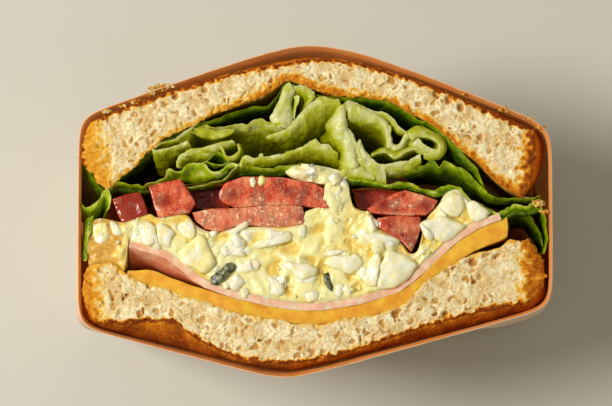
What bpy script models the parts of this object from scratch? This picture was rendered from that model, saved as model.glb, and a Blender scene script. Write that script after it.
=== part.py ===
"""Half of a paper-wrapped toast sandwich with egg salad, standing on its back, cut face up.

+X runs along the slices of bread, +Y from the lower slice to the upper one, and +Z out of the
cut face. Each piece is laid out in millimetres on the cut, as the section shows it, and is then
let down through the half by settle(), which draws the two slices together towards the crust at
the back, as the wrap does. The origin is on the table, under the middle of the half.
"""

import math

import bmesh
import bpy
import numpy as np
from mathutils import Vector, noise

MM = 0.001

# Driving sizes, in millimetres.
HALF_DEPTH = 60.0  # from the table to the cut, half a slice of bread
SLICE_WIDTH = 118.0  # along the cut, crust to crust, with the wrap
TOP_APEX = (-1.25, 41.25)  # the highest point of the wrap on the cut
TOP_SLOPES = (0.36, 0.43)  # how steeply the wrap falls away left and right of it
TOP_ROUND = (9.0, 15.0)  # how broad the crown is on each side
BASE_APEX = (-7.5, -41.25)  # the lowest point of the wrap on the cut
BASE_SLOPES = (0.267, 0.28)
BASE_ROUND = (5.0, 5.0)
CORNER_ROUND = 2.2
CORNER_SHARE = 12.0  # millimetres of outline that a turn of one radian counts for
END_TOP = 21.5  # height of the wrap's shoulders at its two ends
END_BASE = -27.0
PINCH = 0.8  # share of the crown that is gone at the back
PINCH_POWER = 1.3
FILLING_SHARE = 0.7  # the filling gives way inside this share of the half height
SIDE_FLARE = 2.8  # how far the wrap's ends stand out half way down, beside the lower slice
UPPER_FLARE = 0.42  # share of that beside the upper slice
WRAP_THICK = 0.45
WALL_LEVELS = (8, 16, 27, 39, 51)  # heights at which the wrap's wall bends
GAP = 0.35  # air left between two pieces that touch
CLEAR_BACK = 2.2  # the food starts this far above the table
HAM_THICK = 1.6
LEAF_THICK = 0.55

MATERIALS = {
    "wrap_paper": ((0.80, 0.62, 0.45), 0.55),
    "toast": ((0.84, 0.70, 0.47), 0.9),
    "cheese": ((0.93, 0.55, 0.07), 0.4),
    "ham": ((0.86, 0.48, 0.42), 0.35),
    "egg_salad": ((0.93, 0.87, 0.55), 0.4),
    "tomato": ((0.68, 0.13, 0.08), 0.25),
    "lettuce_green": ((0.16, 0.34, 0.04), 0.4),
    "lettuce_pale": ((0.60, 0.66, 0.24), 0.4),
}


# ---------------------------------------------------------------- shapes of the section


def arch(x, apex, slopes, crowns):
    """Depth below a rounded ridge, whose two flanks have their own slope and crown."""
    run = np.asarray(x, float) - apex[0]
    slope, crown = np.where(run < 0, *slopes), np.where(run < 0, *crowns)
    return slope * (np.sqrt(run**2 + crown**2) - crown)


def wrap_top(x):
    """Height of the wrap over the upper slice, on the cut."""
    return TOP_APEX[1] - arch(x, TOP_APEX, TOP_SLOPES, TOP_ROUND)


def wrap_base(x):
    """Height of the wrap under the lower slice, on the cut."""
    return BASE_APEX[1] + arch(x, BASE_APEX, BASE_SLOPES, BASE_ROUND)


def settle(points):
    """Lets points of the straight section down through the half, drawn in towards the back.

    Height is lost only inside the filling and the slices keep their thickness, so the map keeps
    the order of the layers, and pieces that are clear of each other on the cut stay clear.
    """
    x, y, z = np.asarray(points, float).T
    depth = np.clip(1 - z / HALF_DEPTH, 0, 1)
    top, base = wrap_top(x), wrap_base(x)
    edge = np.where(y > 0, top, base)
    crown = np.where(y > 0, np.maximum(top - END_TOP, 0), np.minimum(base - END_BASE, 0))
    share = np.clip(np.abs(y) / (FILLING_SHARE * np.abs(edge)), 0, 1)
    drawn = y - PINCH * crown * share * depth**PINCH_POWER
    swell = np.sin(math.pi * depth**0.8)
    low = np.clip((-16 - y) / 12, 0, 1)
    swell *= UPPER_FLARE + (1 - UPPER_FLARE) * low * low * (3 - 2 * low)
    spread = x + SIDE_FLARE * swell * (2 * x / SLICE_WIDTH) ** 3
    return np.column_stack([spread, drawn, z])


def curve(points, count):
    """count points, evenly spaced, along a smooth curve through the given ones."""
    knots = np.array(points, float)
    run = np.vstack([2 * knots[0] - knots[1], knots, 2 * knots[-1] - knots[-2]])
    t = np.linspace(0, 1, 20, endpoint=False)[:, None]
    fine = []
    for a, b, c, d in zip(run, run[1:], run[2:], run[3:]):
        bend = (2 * a - 5 * b + 4 * c - d) * t**2 + (3 * b - a - 3 * c + d) * t**3
        fine.append((2 * b + (c - a) * t + bend) / 2)
    fine = np.vstack([*fine, knots[-1:]])
    length = np.concatenate([[0], np.cumsum(np.linalg.norm(np.diff(fine, axis=0), axis=1))])
    stops = np.linspace(0, length[-1], count)
    return np.column_stack([np.interp(stops, length, column) for column in fine.T])


def height_on(points, x):
    """Height at x of the curve through points, which runs from left to right."""
    fine = curve(points, 400)
    return np.interp(x, fine[:, 0], fine[:, 1])


def grain(point, size, seed=0.0):
    """Smooth noise from -1 to 1, with lumps about as large as size millimetres."""
    return noise.noise(Vector((float(point[0]), float(point[1]), float(point[2]))) / size + Vector((seed, 0, 0)))


# ---------------------------------------------------------------- making objects


def material(name):
    """The part's material of that name, made when it is first asked for."""
    made = bpy.data.materials.get(name)
    if made is None:
        colour, roughness = MATERIALS[name]
        made = bpy.data.materials.new(name)
        made.use_nodes = True
        shader = made.node_tree.nodes["Principled BSDF"]
        shader.inputs["Base Color"].default_value = (*colour, 1)
        shader.inputs["Roughness"].default_value = roughness
        shader.inputs["Metallic"].default_value = 0
    return made


def solid(name, points, faces, finish):
    """An object from points of the straight section and faces, settled and in metres."""
    mesh = bpy.data.meshes.new(name)
    mesh.from_pydata((settle(points) * MM).tolist(), [], faces)
    tidy = bmesh.new()
    tidy.from_mesh(mesh)
    bmesh.ops.recalc_face_normals(tidy, faces=tidy.faces)
    tidy.to_mesh(mesh)
    tidy.free()
    mesh.materials.append(material(finish))
    made = bpy.data.objects.new(name, mesh)
    bpy.context.scene.collection.objects.link(made)
    return made


def quads(rows, columns, start=0, flip=False):
    """Triangles over a grid of points numbered row by row, every cell split the same way."""
    found = []
    for i in range(rows - 1):
        for j in range(columns - 1):
            a = start + i * columns + j
            b, c, d = a + columns, a + columns + 1, a + 1
            found += [(a, b, c), (a, c, d)]
    return [face[::-1] for face in found] if flip else found


def slab(name, low, high, layers, finish, bulge=(0, 0), rows=5, relief=None, shift=None):
    """A layer between two edges of the section, from the cut down through the given depths.

    low and high are its lower and upper edges, with as many points each. bulge rounds its two
    ends out. layers are (height over the table, share of the thickness kept there), from the cut
    down. relief(point) raises the cut face, and shift(points) moves points of the section.
    """
    across = np.linspace(0, 1, rows + 1)
    last = len(low) - 1
    fade = np.exp(-np.arange(last + 1) * 0.9)
    section = []
    for i in range(last + 1):
        line = low[i] + (high[i] - low[i]) * across[:, None]
        round_out = 4 * across * (1 - across)
        line[:, 0] += round_out * (bulge[1] * fade[last - i] - bulge[0] * fade[i])
        section.append(line)
    section = np.array(section)
    middle = section.mean(axis=1, keepdims=True)
    edge = [(i, 0) for i in range(last)] + [(last, j) for j in range(rows)]
    edge += [(i, rows) for i in range(last, 0, -1)] + [(0, j) for j in range(rows, 0, -1)]

    def level(height, share):
        flat = (middle + (section - middle) * share).reshape(-1, 2)
        flat = np.column_stack([flat, np.full(len(flat), height)])
        return shift(flat) if shift else flat

    top = level(*layers[0])
    if relief:
        top[:, 2] += [relief(point) for point in top]
    points = [top]
    ring = [i * (rows + 1) + j for i, j in edge]
    rings = [ring]
    count = len(top)
    for height, share in layers[1:]:
        points.append(level(height, share)[ring])
        rings.append(list(range(count, count + len(ring))))
        count += len(ring)
    faces = quads(last + 1, rows + 1)
    for upper, lower in zip(rings, rings[1:]):
        for k in range(len(ring)):
            after = (k + 1) % len(ring)
            faces += [(upper[k], lower[k], lower[after]), (upper[k], lower[after], upper[after])]
    # The back is closed across from the lower edge to the upper one.
    back = {at: number for at, number in zip(edge, rings[-1])}
    for i in range(last):
        faces.append((back[i, 0], back[i, rows], back[i + 1, rows], back[i + 1, 0]))
    faces.append(tuple(back[0, j] for j in range(rows + 1)))
    faces.append(tuple(back[last, j] for j in range(rows, -1, -1)))
    return solid(name, np.vstack(points), faces, finish)


def shell(front, back, rows, columns):
    """Points and faces of the closed solid between two like grids, both faces split alike."""
    half = rows * columns
    faces = quads(rows, columns) + quads(rows, columns, half, flip=True)
    rim = [(i, 0) for i in range(rows)] + [(rows - 1, j) for j in range(1, columns)]
    rim += [(i, columns - 1) for i in range(rows - 2, -1, -1)]
    rim += [(0, j) for j in range(columns - 2, 0, -1)]
    rim = [i * columns + j for i, j in rim]
    for a, b in zip(rim, rim[1:] + rim[:1]):
        faces += [(a, a + half, b + half), (a, b + half, b)]
    return np.vstack([front, back]), faces


def sheet(name, surface, thickness, finish):
    """A thin closed solid round a grid of points."""
    along, down = np.gradient(surface, axis=(0, 1))
    normal = np.cross(along, down)
    normal *= thickness / 2 / np.linalg.norm(normal, axis=2, keepdims=True)
    front, back = (surface + normal).reshape(-1, 3), (surface - normal).reshape(-1, 3)
    points, faces = shell(front, back, *surface.shape[:2])
    return solid(name, points, faces, finish)


def plug(name, outline, bottom, finish, top=HALF_DEPTH, lean=(0, 0), dome=0.4, narrow=0.55):
    """A cut piece: its outline on the cut, narrowing to a rounded end further down.

    lean moves the far end in the section, and narrow is the share of the width left there.
    """
    count = 18
    ring = curve([*outline, outline[0]], count + 1)[:-1]
    centre = ring.mean(axis=0)
    points, rings = [], []

    def add(scale, height, along):
        flat = centre + (ring - centre) * scale + np.array(lean) * along
        lift = [dome * grain((*p, height), 5.0) for p in flat] if along == 0 else 0
        rings.append(range(len(points), len(points) + count))
        points.extend(np.column_stack([flat, np.full(count, height) + lift]).tolist())

    for scale in (0.45, 0.97):
        add(scale, top + dome * (1 - scale), 0)
    for along in (0.03, 0.45, 0.8, 1.0):
        add(1 - (1 - narrow) * along**2.5, top + (bottom - top) * along, along)
    points.append((*centre, top + dome))
    points.append((*(centre + np.array(lean)), bottom))
    faces = []
    for k in range(count):
        after = (k + 1) % count
        for upper, lower in zip(rings, rings[1:]):
            faces += [
                (upper[k], lower[k], lower[after]),
                (upper[k], lower[after], upper[after]),
            ]
        faces.append((rings[0][k], rings[0][after], len(points) - 2))
        faces.append((rings[-1][after], rings[-1][k], len(points) - 1))
    return solid(name, np.array(points), faces, finish)


def fuse(target, pieces):
    """Joins pieces to target with one Boolean union, and removes them."""
    group = bpy.data.collections.new(target.name + "_pieces")
    bpy.context.scene.collection.children.link(group)
    for piece in pieces:
        bpy.context.scene.collection.objects.unlink(piece)
        group.objects.link(piece)
    join = target.modifiers.new("fuse", "BOOLEAN")
    join.operation = "UNION"
    join.operand_type = "COLLECTION"
    join.collection = group
    join.solver = "MANIFOLD"
    bpy.context.view_layer.update()
    joined = target.evaluated_get(bpy.context.evaluated_depsgraph_get())
    mesh = bpy.data.meshes.new_from_object(joined)
    target.modifiers.clear()
    target.data = mesh
    for piece in pieces:
        bpy.data.objects.remove(piece)
    bpy.data.collections.remove(group)


# ---------------------------------------------------------------- the wrap


def wrap_edge(origin, direction, inset):
    """Distance from origin along direction to the wrap's outline on the cut, set in by inset."""
    near, far = 0.0, 90.0
    for _ in range(40):
        reach = (near + far) / 2
        x, y = origin[0] + direction[0] * reach, origin[1] + direction[1] * reach
        over = np.array([y - wrap_top(x), wrap_base(x) - y, abs(x) - SLICE_WIDTH / 2])
        outside = CORNER_ROUND * math.log(np.exp((over + inset) / CORNER_ROUND).sum())
        near, far = (near, reach) if outside > 0 else (reach, far)
    return near


def wrap_directions(count):
    """Directions from the middle to count points of the outline, closer where it turns."""
    turns = np.linspace(0, 2 * math.pi, 720, endpoint=False)
    ways = np.column_stack([np.cos(turns), np.sin(turns)])
    outline = ways * [[wrap_edge((0, 0), way, 0)] for way in ways]
    step = np.roll(outline, -1, axis=0) - outline
    heading = np.unwrap(np.arctan2(step[:, 1], step[:, 0]))
    bend = np.abs(np.gradient(heading))
    measure = np.cumsum(np.linalg.norm(step, axis=1) + CORNER_SHARE * bend)
    stops = measure[180] + np.arange(count) * measure[-1] / count
    picked = np.interp(stops % measure[-1], measure, np.arange(720))
    return [(math.cos(at * math.pi / 360), math.sin(at * math.pi / 360)) for at in picked]


def wrap_ring(ways, inset, height):
    """The wrap's outline at a height, as one point in each direction."""
    edges = [wrap_edge((0, 0), way, inset) for way in ways]
    return [(way[0] * edge, way[1] * edge, height) for way, edge in zip(ways, edges)]


def paper_wrap():
    """The wrap: a thin cup, closed under the back crust and open at the cut."""
    count = 52
    outside = ((0, 3.2), (0.7, 1.3), (2.4, 0.3), *((height, 0) for height in WALL_LEVELS))
    rim = (HALF_DEPTH + 0.6, 0)
    ways = wrap_directions(count)
    points, rings = [], []

    def add(height, inset):
        rings.append(range(len(points), len(points) + count))
        points.extend(wrap_ring(ways, inset, height))

    for height, inset in (*outside, rim):
        add(height, inset)
    for height, inset in (rim, *reversed(outside)):
        add(max(height, WRAP_THICK), inset + WRAP_THICK)
    points += [(0, 0, 0), (0, 0, WRAP_THICK)]
    faces = []
    for k in range(count):
        after = (k + 1) % count
        for lower, upper in zip(rings, rings[1:]):
            faces += [
                (lower[k], lower[after], upper[after]),
                (lower[k], upper[after], upper[k]),
            ]
        faces.append((rings[0][after], rings[0][k], len(points) - 2))
        faces.append((rings[-1][k], rings[-1][after], len(points) - 1))
    wrap = solid("paper_wrap", np.array(points), faces, "wrap_paper")
    fuse(wrap, [end_fold(side, kind) for side in (-1, 1) for kind in ("tuck", "flap")])


def end_fold(side, kind):
    """A fold of the wrap on an end wall: the tuck that comes up from the back, or the flap.

    Its rows lie on the levels of the wall, half way through it, so the two join cleanly.
    """
    if kind == "tuck":
        levels, lift = WALL_LEVELS[:3], 0.4
        edges = ((-20, 14), (-11, 8), (-1.5, 1.5))
    else:
        levels, lift = WALL_LEVELS[1:], 0.8
        edges = ((-15, -9), (-19, -5), (-21, -3), (-22.5, -1.5))
    inner, outer = [], []
    for z, (low, high) in zip(levels, edges):
        for y in np.linspace(low, high, 4):
            reach = wrap_edge((0, y), (side, 0), 0)
            inner.append((side * (reach - WRAP_THICK / 2), y, z))
            outer.append((side * (reach + lift), y, z))
    points, faces = shell(np.array(inner), np.array(outer), len(levels), 4)
    return solid(f"{kind}_{side}", points, faces, "wrap_paper")


# ---------------------------------------------------------------- bread

UPPER_FACE = (
    (-52, 5.3), (-48.7, 8.3), (-45, 11.4), (-41.2, 15.2), (-37.5, 18.3), (-31.2, 21.2),
    (-25, 24.5), (-18.8, 26.8), (-13.7, 28.6), (-10, 30.8), (-7.2, 32.6), (-3.7, 32.2),
    (1.2, 30.3), (7.5, 28.9), (13.7, 28.6), (18.7, 27.5), (23.7, 24.8), (28.7, 22.2),
    (32.5, 19.4), (36.2, 15.8), (40, 12.7), (43.7, 9), (47.5, 5.8), (52, 3.4),
)  # fmt: skip
UPPER_CRUST = (
    (-56, 22.4), (-53.75, 23.75), (-48.75, 25.5), (-43.75, 27.25), (-38.75, 29.25), (-33.75, 30.9),
    (-28.75, 32.25), (-23.75, 33.75), (-18.75, 35), (-13.75, 36), (-8.75, 36.9), (-3.75, 37.75),
    (0, 38.25), (7, 38), (16, 35.8), (26, 32.5), (36, 28.4), (46, 24), (54.6, 20.2),
)  # fmt: skip
LOWER_FACE = (
    (-57, -14.2), (-53, -13.2), (-50, -13.4), (-47.5, -15.4), (-45, -16.8), (-41, -18.4),
    (-36, -19.8), (-31, -21.7), (-26, -23.4), (-21, -24.9), (-16, -26.2), (-6, -27.9),
    (0, -28.3), (9, -26.8), (18.7, -24.9), (23.7, -21.8), (26.5, -18.6), (30, -16.1),
    (35, -12.9), (40, -10.5), (46, -9.1), (48.6, -7.2), (50.6, -7.6), (53.2, -6.9),
)  # fmt: skip
LOWER_CRUST = (
    (-54.5, -27.4), (-50, -28.1), (-40, -27.6), (-34.5, -27.9), (-32, -30), (-28.5, -32.4),
    (-24, -34.8), (-18, -36.9), (-10, -38.1), (0, -37.3), (9, -35), (21.2, -31),
    (26.2, -29.2), (33.7, -27.1), (41.2, -25.2), (46.2, -24.1), (53.4, -23),
)  # fmt: skip
BREAD_LEVELS = (60, 55.5, 51, 32, 14, 5, CLEAR_BACK)
CRUST_REACH = 8.0  # the crust has met the wrap this far below the cut
CRUST_INSET = WRAP_THICK + 0.7


def crumb(point):
    """The torn crumb of the cut: small hollows, with a few larger holes."""
    hollow = max(0.0, grain(point, 2.6, 7) - 0.25) + max(0.0, grain(point, 6.0, 3) - 0.4)
    return 0.35 * grain(point, 3.4) - 1.6 * hollow


def bread(name, face, crust, bulge, upper):
    """One slice, from its toasted inner face to its crust, which spreads to the wrap below."""
    stations, rows = 36, 3
    inner, outer = curve(face, stations), curve(crust, stations)
    low, high = (inner, outer) if upper else (outer, inner)
    middle = np.repeat((low + high) / 2, rows + 1, axis=0)
    origin = np.repeat((low + high)[np.clip(np.arange(stations), 2, stations - 3)] / 2, rows + 1, axis=0)
    outward = np.tile(np.linspace(0, 1, rows + 1), stations)
    outward = outward if upper else 1 - outward
    outward = outward * outward * (3 - 2 * outward)

    def let_out(points):
        """The crust moves out to the wrap, and draws in at the back."""
        height = points[0, 2]
        spread = math.sin(min((HALF_DEPTH - height) / CRUST_REACH, 1) * math.pi / 2)
        for k in np.flatnonzero(outward * spread > 0):
            way = points[k, :2] - origin[k]
            run = np.linalg.norm(way)
            if run > 0.1:
                room = max(wrap_edge(origin[k], way / run, CRUST_INSET) - run, 0)
                points[k, :2] += way / run * room * outward[k] * spread
        kept = np.interp(height, (CLEAR_BACK, 5, 14), (0.82, 0.97, 1))
        points[:, :2] = middle + (points[:, :2] - middle) * kept
        return points

    levels = [(height, 1) for height in BREAD_LEVELS]
    slab(name, low, high, levels, "toast", bulge, rows, crumb, let_out)


# ---------------------------------------------------------------- cheese and ham

CHEESE_TOP = (
    (-44.6, -15.2), (-41, -15), (-36, -17), (-28.7, -19.5), (-18.7, -22.4), (-8.7, -24.5),
    (0, -25.2), (8, -24.2), (16, -22.4), (21.5, -20.4), (26, -17.4), (30, -13.7),
    (34, -10.3), (38, -7.4), (43, -4.6), (47.9, -1.9),
)  # fmt: skip
HAM_TOP = (
    (-46.3, -7.2), (-43.7, -8), (-40, -9), (-36.3, -10.4), (-33.7, -12.3), (-31, -14.9),
    (-28, -17.2), (-23.7, -18.8), (-18.7, -20.6), (-13.7, -21.9), (-3.7, -23.4),
    (8.7, -22.1), (13.7, -20.9), (21.2, -18.2), (25, -15.2), (28.7, -11.6), (33.7, -7),
    (37.5, -4.3), (42, -1.9), (46.3, -0.4),
)  # fmt: skip
HAM_CURL = 14.0  # the left end of the ham stands off the cheese over this depth
LAYER_X = np.linspace(-46.3, 46.3, 30)
CHEESE_LINE = height_on(CHEESE_TOP, LAYER_X)
STRETCH = np.sqrt(1 + np.gradient(CHEESE_LINE, LAYER_X) ** 2)  # where it climbs
HAM_FLAT = CHEESE_LINE + STRETCH * (GAP + HAM_THICK)
HAM_RIM = np.maximum(height_on(HAM_TOP, LAYER_X), HAM_FLAT)


def cheese():
    """A slice of cheese along the lower slice of bread, thick where its right end shows."""
    x = np.array([-44.6, *LAYER_X[1:-1], 47.9])
    high = height_on(CHEESE_TOP, x)
    low = np.maximum(height_on(LOWER_FACE, x) + GAP, high - 4.6)
    low, high = np.column_stack([x, np.minimum(low, high - 1.2)]), np.column_stack([x, high])
    layers = ((59.6, 1), (40, 1), (22, 1), (5, 1))
    slab("cheese", low, high, layers, "cheese", (0.3, 0.3), rows=2)


def ham_top(x, z):
    """Height of the ham's upper face in the section, at x and at a height over the table."""
    curl = np.clip(1 - (HALF_DEPTH - np.asarray(z, float)) / HAM_CURL, 0, 1) ** 1.2
    flat, rim = np.interp(x, LAYER_X, HAM_FLAT), np.interp(x, LAYER_X, HAM_RIM)
    return flat + (rim - flat) * curl


def ham():
    """A slice of ham on the cheese, its left end curled up at the cut."""
    upper, lower = [], []
    for x, stretch in zip(LAYER_X, STRETCH):
        for z in HALF_DEPTH - 0.3 - np.array([0, 4, 8, 14, 32, 54]):
            upper.append((x, ham_top(x, z), z))
            lower.append((x, ham_top(x, z) - stretch * HAM_THICK, z))
    points, faces = shell(np.array(upper), np.array(lower), len(LAYER_X), 6)
    solid("ham", points, faces, "ham")


# ---------------------------------------------------------------- tomato

TOMATOES = {
    # name: (outline on the cut, height of the far end, lean of the far end)
    "tomato_left_end": (((-50.6, 3), (-47, 4.2), (-43.8, 4.6), (-42.6, 2), (-42, -0.6),
                         (-45, -1.9), (-48.2, -2.9), (-49.6, 0)), 44, (1, -0.6)),
    "tomato_left": (((-41.6, 6.2), (-37.5, 7.2), (-33.7, 8), (-31.6, 5), (-29.9, 1.9),
                     (-31.5, -0.4), (-35, -1), (-39, -1.6), (-40.4, 2)), 38, (1.5, -1)),
    "tomato_middle": (((-24, 4.6), (-22.4, 7), (-18, 8.6), (-13, 8.6), (-8, 8.2), (-4, 7.2),
                       (-1, 5.4), (0.4, 3), (0, 1.4), (-5, 1.9), (-12, 1.6), (-20, 1),
                       (-23.4, 2.4)), 34, (0, -1)),
    "tomato_lower": (((-30.6, -0.8), (-26, 0.3), (-19, 0.2), (-12, 0.8), (-5, 1.1), (-3, 0.4),
                      (-3, -3), (-7, -3.9), (-12, -4), (-17, -3.4), (-20, -3.8), (-24, -5.2),
                      (-27.4, -4.4), (-29.6, -2.6)), 36, (0, -1.5)),
    "tomato_right": (((13, 0.6), (17, 2.6), (20, 4.4), (22.6, 5.2), (27, 4), (30.6, 2.6),
                      (29.4, 0.4), (27.6, -1), (23, -1.2), (18, -0.9), (14, -0.4)), 36, (0, -1)),
    "tomato_right_low": (((15.6, -2.2), (19, -1.8), (23, -2), (26.3, -2.1), (26.2, -5),
                          (25.2, -8), (24, -10.2), (22, -8), (19, -6), (16, -4.2)), 40, (0, 0)),
}  # fmt: skip


# ---------------------------------------------------------------- egg salad

SALAD_TOP = (
    (-56.3, -3.6), (-53.6, -2.9), (-50.6, -3.4), (-48, -3.9), (-45, -2.8), (-41.2, -1.8),
    (-39.6, -2.7), (-35, -2), (-32, -2.2), (-30, -4.4), (-27.4, -6), (-24, -6.4),
    (-20, -5.2), (-12, -5), (-6, -4.6), (-2.4, -4), (-1.2, -1.4), (0.6, -0.6), (1.6, 1.4),
    (2.4, 5), (3.4, 8.6), (5, 10.4), (6.8, 10), (8, 7.6), (8.6, 3.6), (9.4, 0.4),
    (11, -0.8), (13.4, -1.4), (14.8, -3), (15.4, -5.2), (18.6, -7), (21.6, -9.4),
    (23.6, -11.8), (25.6, -10.8), (27, -5.6), (28.2, -2.4), (30.8, 0.6), (32.6, 3.4),
    (35.6, 4.4), (38, 2.2), (40.6, 0), (43, -0.7),
)  # fmt: skip
EGG_PIECES = (
    # (x, y) of the middle, length, width, turn in degrees, stand over the cut
    ((-53.2, -7.6), 7.5, 6.0, 20, 0.2),     ((-40.6, -5.6), 8.0, 3.2, 30, 0.6), ((-34.6, -5.4), 5.0, 4.0, -50, 0.7),
    ((-29.6, -10.6), 6.2, 4.8, 20, 1.4), ((-26.2, -10.6), 6.0, 3.6, -55, 1.2),
    ((-18.6, -9.4), 4.8, 4.2, 5, 0.7), ((-10.4, -6.9), 10.6, 2.9, 17, 1.1),
    ((-3.4, -6.6), 3.4, 2.8, 70, 0.8), ((-18.6, -17.4), 8.0, 4.0, 12, 0.8),
    ((-8.4, -17.0), 7.2, 3.4, -38, 0.9), ((-5.2, -12.6), 6.0, 4.4, 40, 0.8),
    ((4.4, -13.4), 7.6, 5.6, 25, 1.3), 
    ((16.6, -9.4), 6.0, 2.8, -12, 1.0),
    ((20.4, -14.0), 8.4, 5.6, 28, 1.5), ((14.8, -18.1), 7.6, 2.8, 12, 1.0),
    ((33.4, -1.2), 6.0, 4.2, -30, 0.9), ((38.2, -0.4), 4.4, 2.8, -38, 0.6),
    ((32.8, -4.6), 5.0, 3.2, 40, 1.0), ((0.6, -18.8), 5.4, 3.0, -20, 0.6),
    ((-1.4, 10.0), 12.4, 2.6, -3, 0.2), ((-0.9, 10.0), 2.6, 2.2, 80, 0.8),
)  # fmt: skip
PICKLES = (((-22.8, -15.2), 6.6, 2.4, 46, 1.0), ((3.4, -18.2), 3.4, 1.6, -60, 0.2))


def lumps(point):
    """The salad's uneven face: soft lumps with hollows between them."""
    return 0.9 * grain(point, 4.2, 11) + 0.5 * grain(point, 2.1, 5) - 0.5


def chunk(number, middle, length, width, turn, stand):
    """A piece of egg white or pickle: a small block with cut, uneven corners."""
    x, y = middle
    cos, sin = math.cos(math.radians(turn)), math.sin(math.radians(turn))
    points = []
    for height, scale in ((stand, 0.78), (stand - 1.0, 1.0), (-4.5, 0.6)):
        for k in range(6):
            way = math.radians(60 * k + 30)
            u = length / 2 * math.cos(way) * scale * 1.08
            v = width / 2 * math.sin(way) * scale * 1.08
            u += 0.35 * grain((x + k, y, height), 1.7, number)
            v += 0.35 * grain((x, y + k, height), 1.7, number)
            points.append((x + u * cos - v * sin, y + u * sin + v * cos, HALF_DEPTH + height))
    faces = [tuple(range(6)), tuple(range(17, 11, -1))]
    for ring in (0, 6):
        for k in range(6):
            after = (k + 1) % 6
            faces.append((ring + k, ring + 6 + k, ring + 6 + after, ring + after))
    return solid(f"chunk_{number}", np.array(points), faces, "egg_salad")


def egg_salad():
    """The heap of egg salad on the ham, with its larger pieces of egg white and pickle."""
    edge = curve(SALAD_TOP, 54)
    x, top = np.maximum.accumulate(edge[:, 0]) + np.arange(54) * 1e-3, edge[:, 1]
    left_floor = np.interp(x, (-57, -47), (-12.2, -12.6))
    layers = ((60, 1), (49, 1), (32, 0.98), (7, 0.8))

    def rest_on_ham(points):
        """The salad's lower edge follows the ham at each depth, and the rest of it stretches."""
        at, height = points[:, 0], points[:, 1]
        ceiling = np.interp(at, x, top)
        share = np.clip((ceiling - height) / np.maximum(ceiling - np.interp(at, x, floor), 0.1), 0, 1)
        moved = ham_floor(at, points[:, 2]) - ham_floor(at, np.full(len(at), HALF_DEPTH))
        points[:, 1] = height + moved * share
        return points

    def ham_floor(at, z):
        over_ham = ham_top(at, z) + GAP * np.interp(at, LAYER_X, STRETCH)
        beside = np.interp(at, x, left_floor)
        return np.where(at < LAYER_X[0] - 0.6, beside, over_ham)

    floor = ham_floor(x, np.full(len(x), HALF_DEPTH))
    low, high = np.column_stack([x, floor]), np.column_stack([x, np.maximum(top, floor + 0.8)])
    slab("egg_salad", low, high, layers, "egg_salad", (0.6, 0.6), 4, lumps, rest_on_ham)
    pieces = [chunk(k, *spec) for k, spec in enumerate((*EGG_PIECES, *PICKLES))]
    fuse(bpy.data.objects["egg_salad"], pieces)


# ---------------------------------------------------------------- lettuce


class Leaf:
    """A leaf between its cut rim and its deeper root, both as curves across the section."""

    def __init__(self, rim, root, depths, finish, thick=LEAF_THICK, cells=(16, 5), wave=0.25):
        self.rim, self.root, self.depths = rim, root, depths
        self.finish, self.thick, self.cells, self.wave = finish, thick, cells, wave

    def surface(self):
        """Its middle surface as a grid of points, rim first."""
        along, down = self.cells
        rim, root = curve(self.rim, along + 1), curve(self.root, along + 1)
        grid = []
        for i in range(along + 1):
            line = []
            for share in np.linspace(0, 1, down + 1):
                x, y = rim[i] + (root[i] - rim[i]) * share**0.9
                z = HALF_DEPTH - self.depths[0] - (self.depths[1] - self.depths[0]) * share
                y += self.wave * grain((x, y, z), 5.0, len(self.rim))
                z += 0.5 * self.wave * grain((x, y, 0), 3.0, 9) * (1 - share)
                line.append((x, y, z))
            grid.append(line)
        return np.array(grid)


def outer_leaf_rim(drop):
    """A line that follows the upper slice's inner face, drop millimetres under it."""
    x = np.linspace(-46.5, 42.5, 14)
    return tuple(zip(x, height_on(UPPER_FACE, x) - drop))


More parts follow.
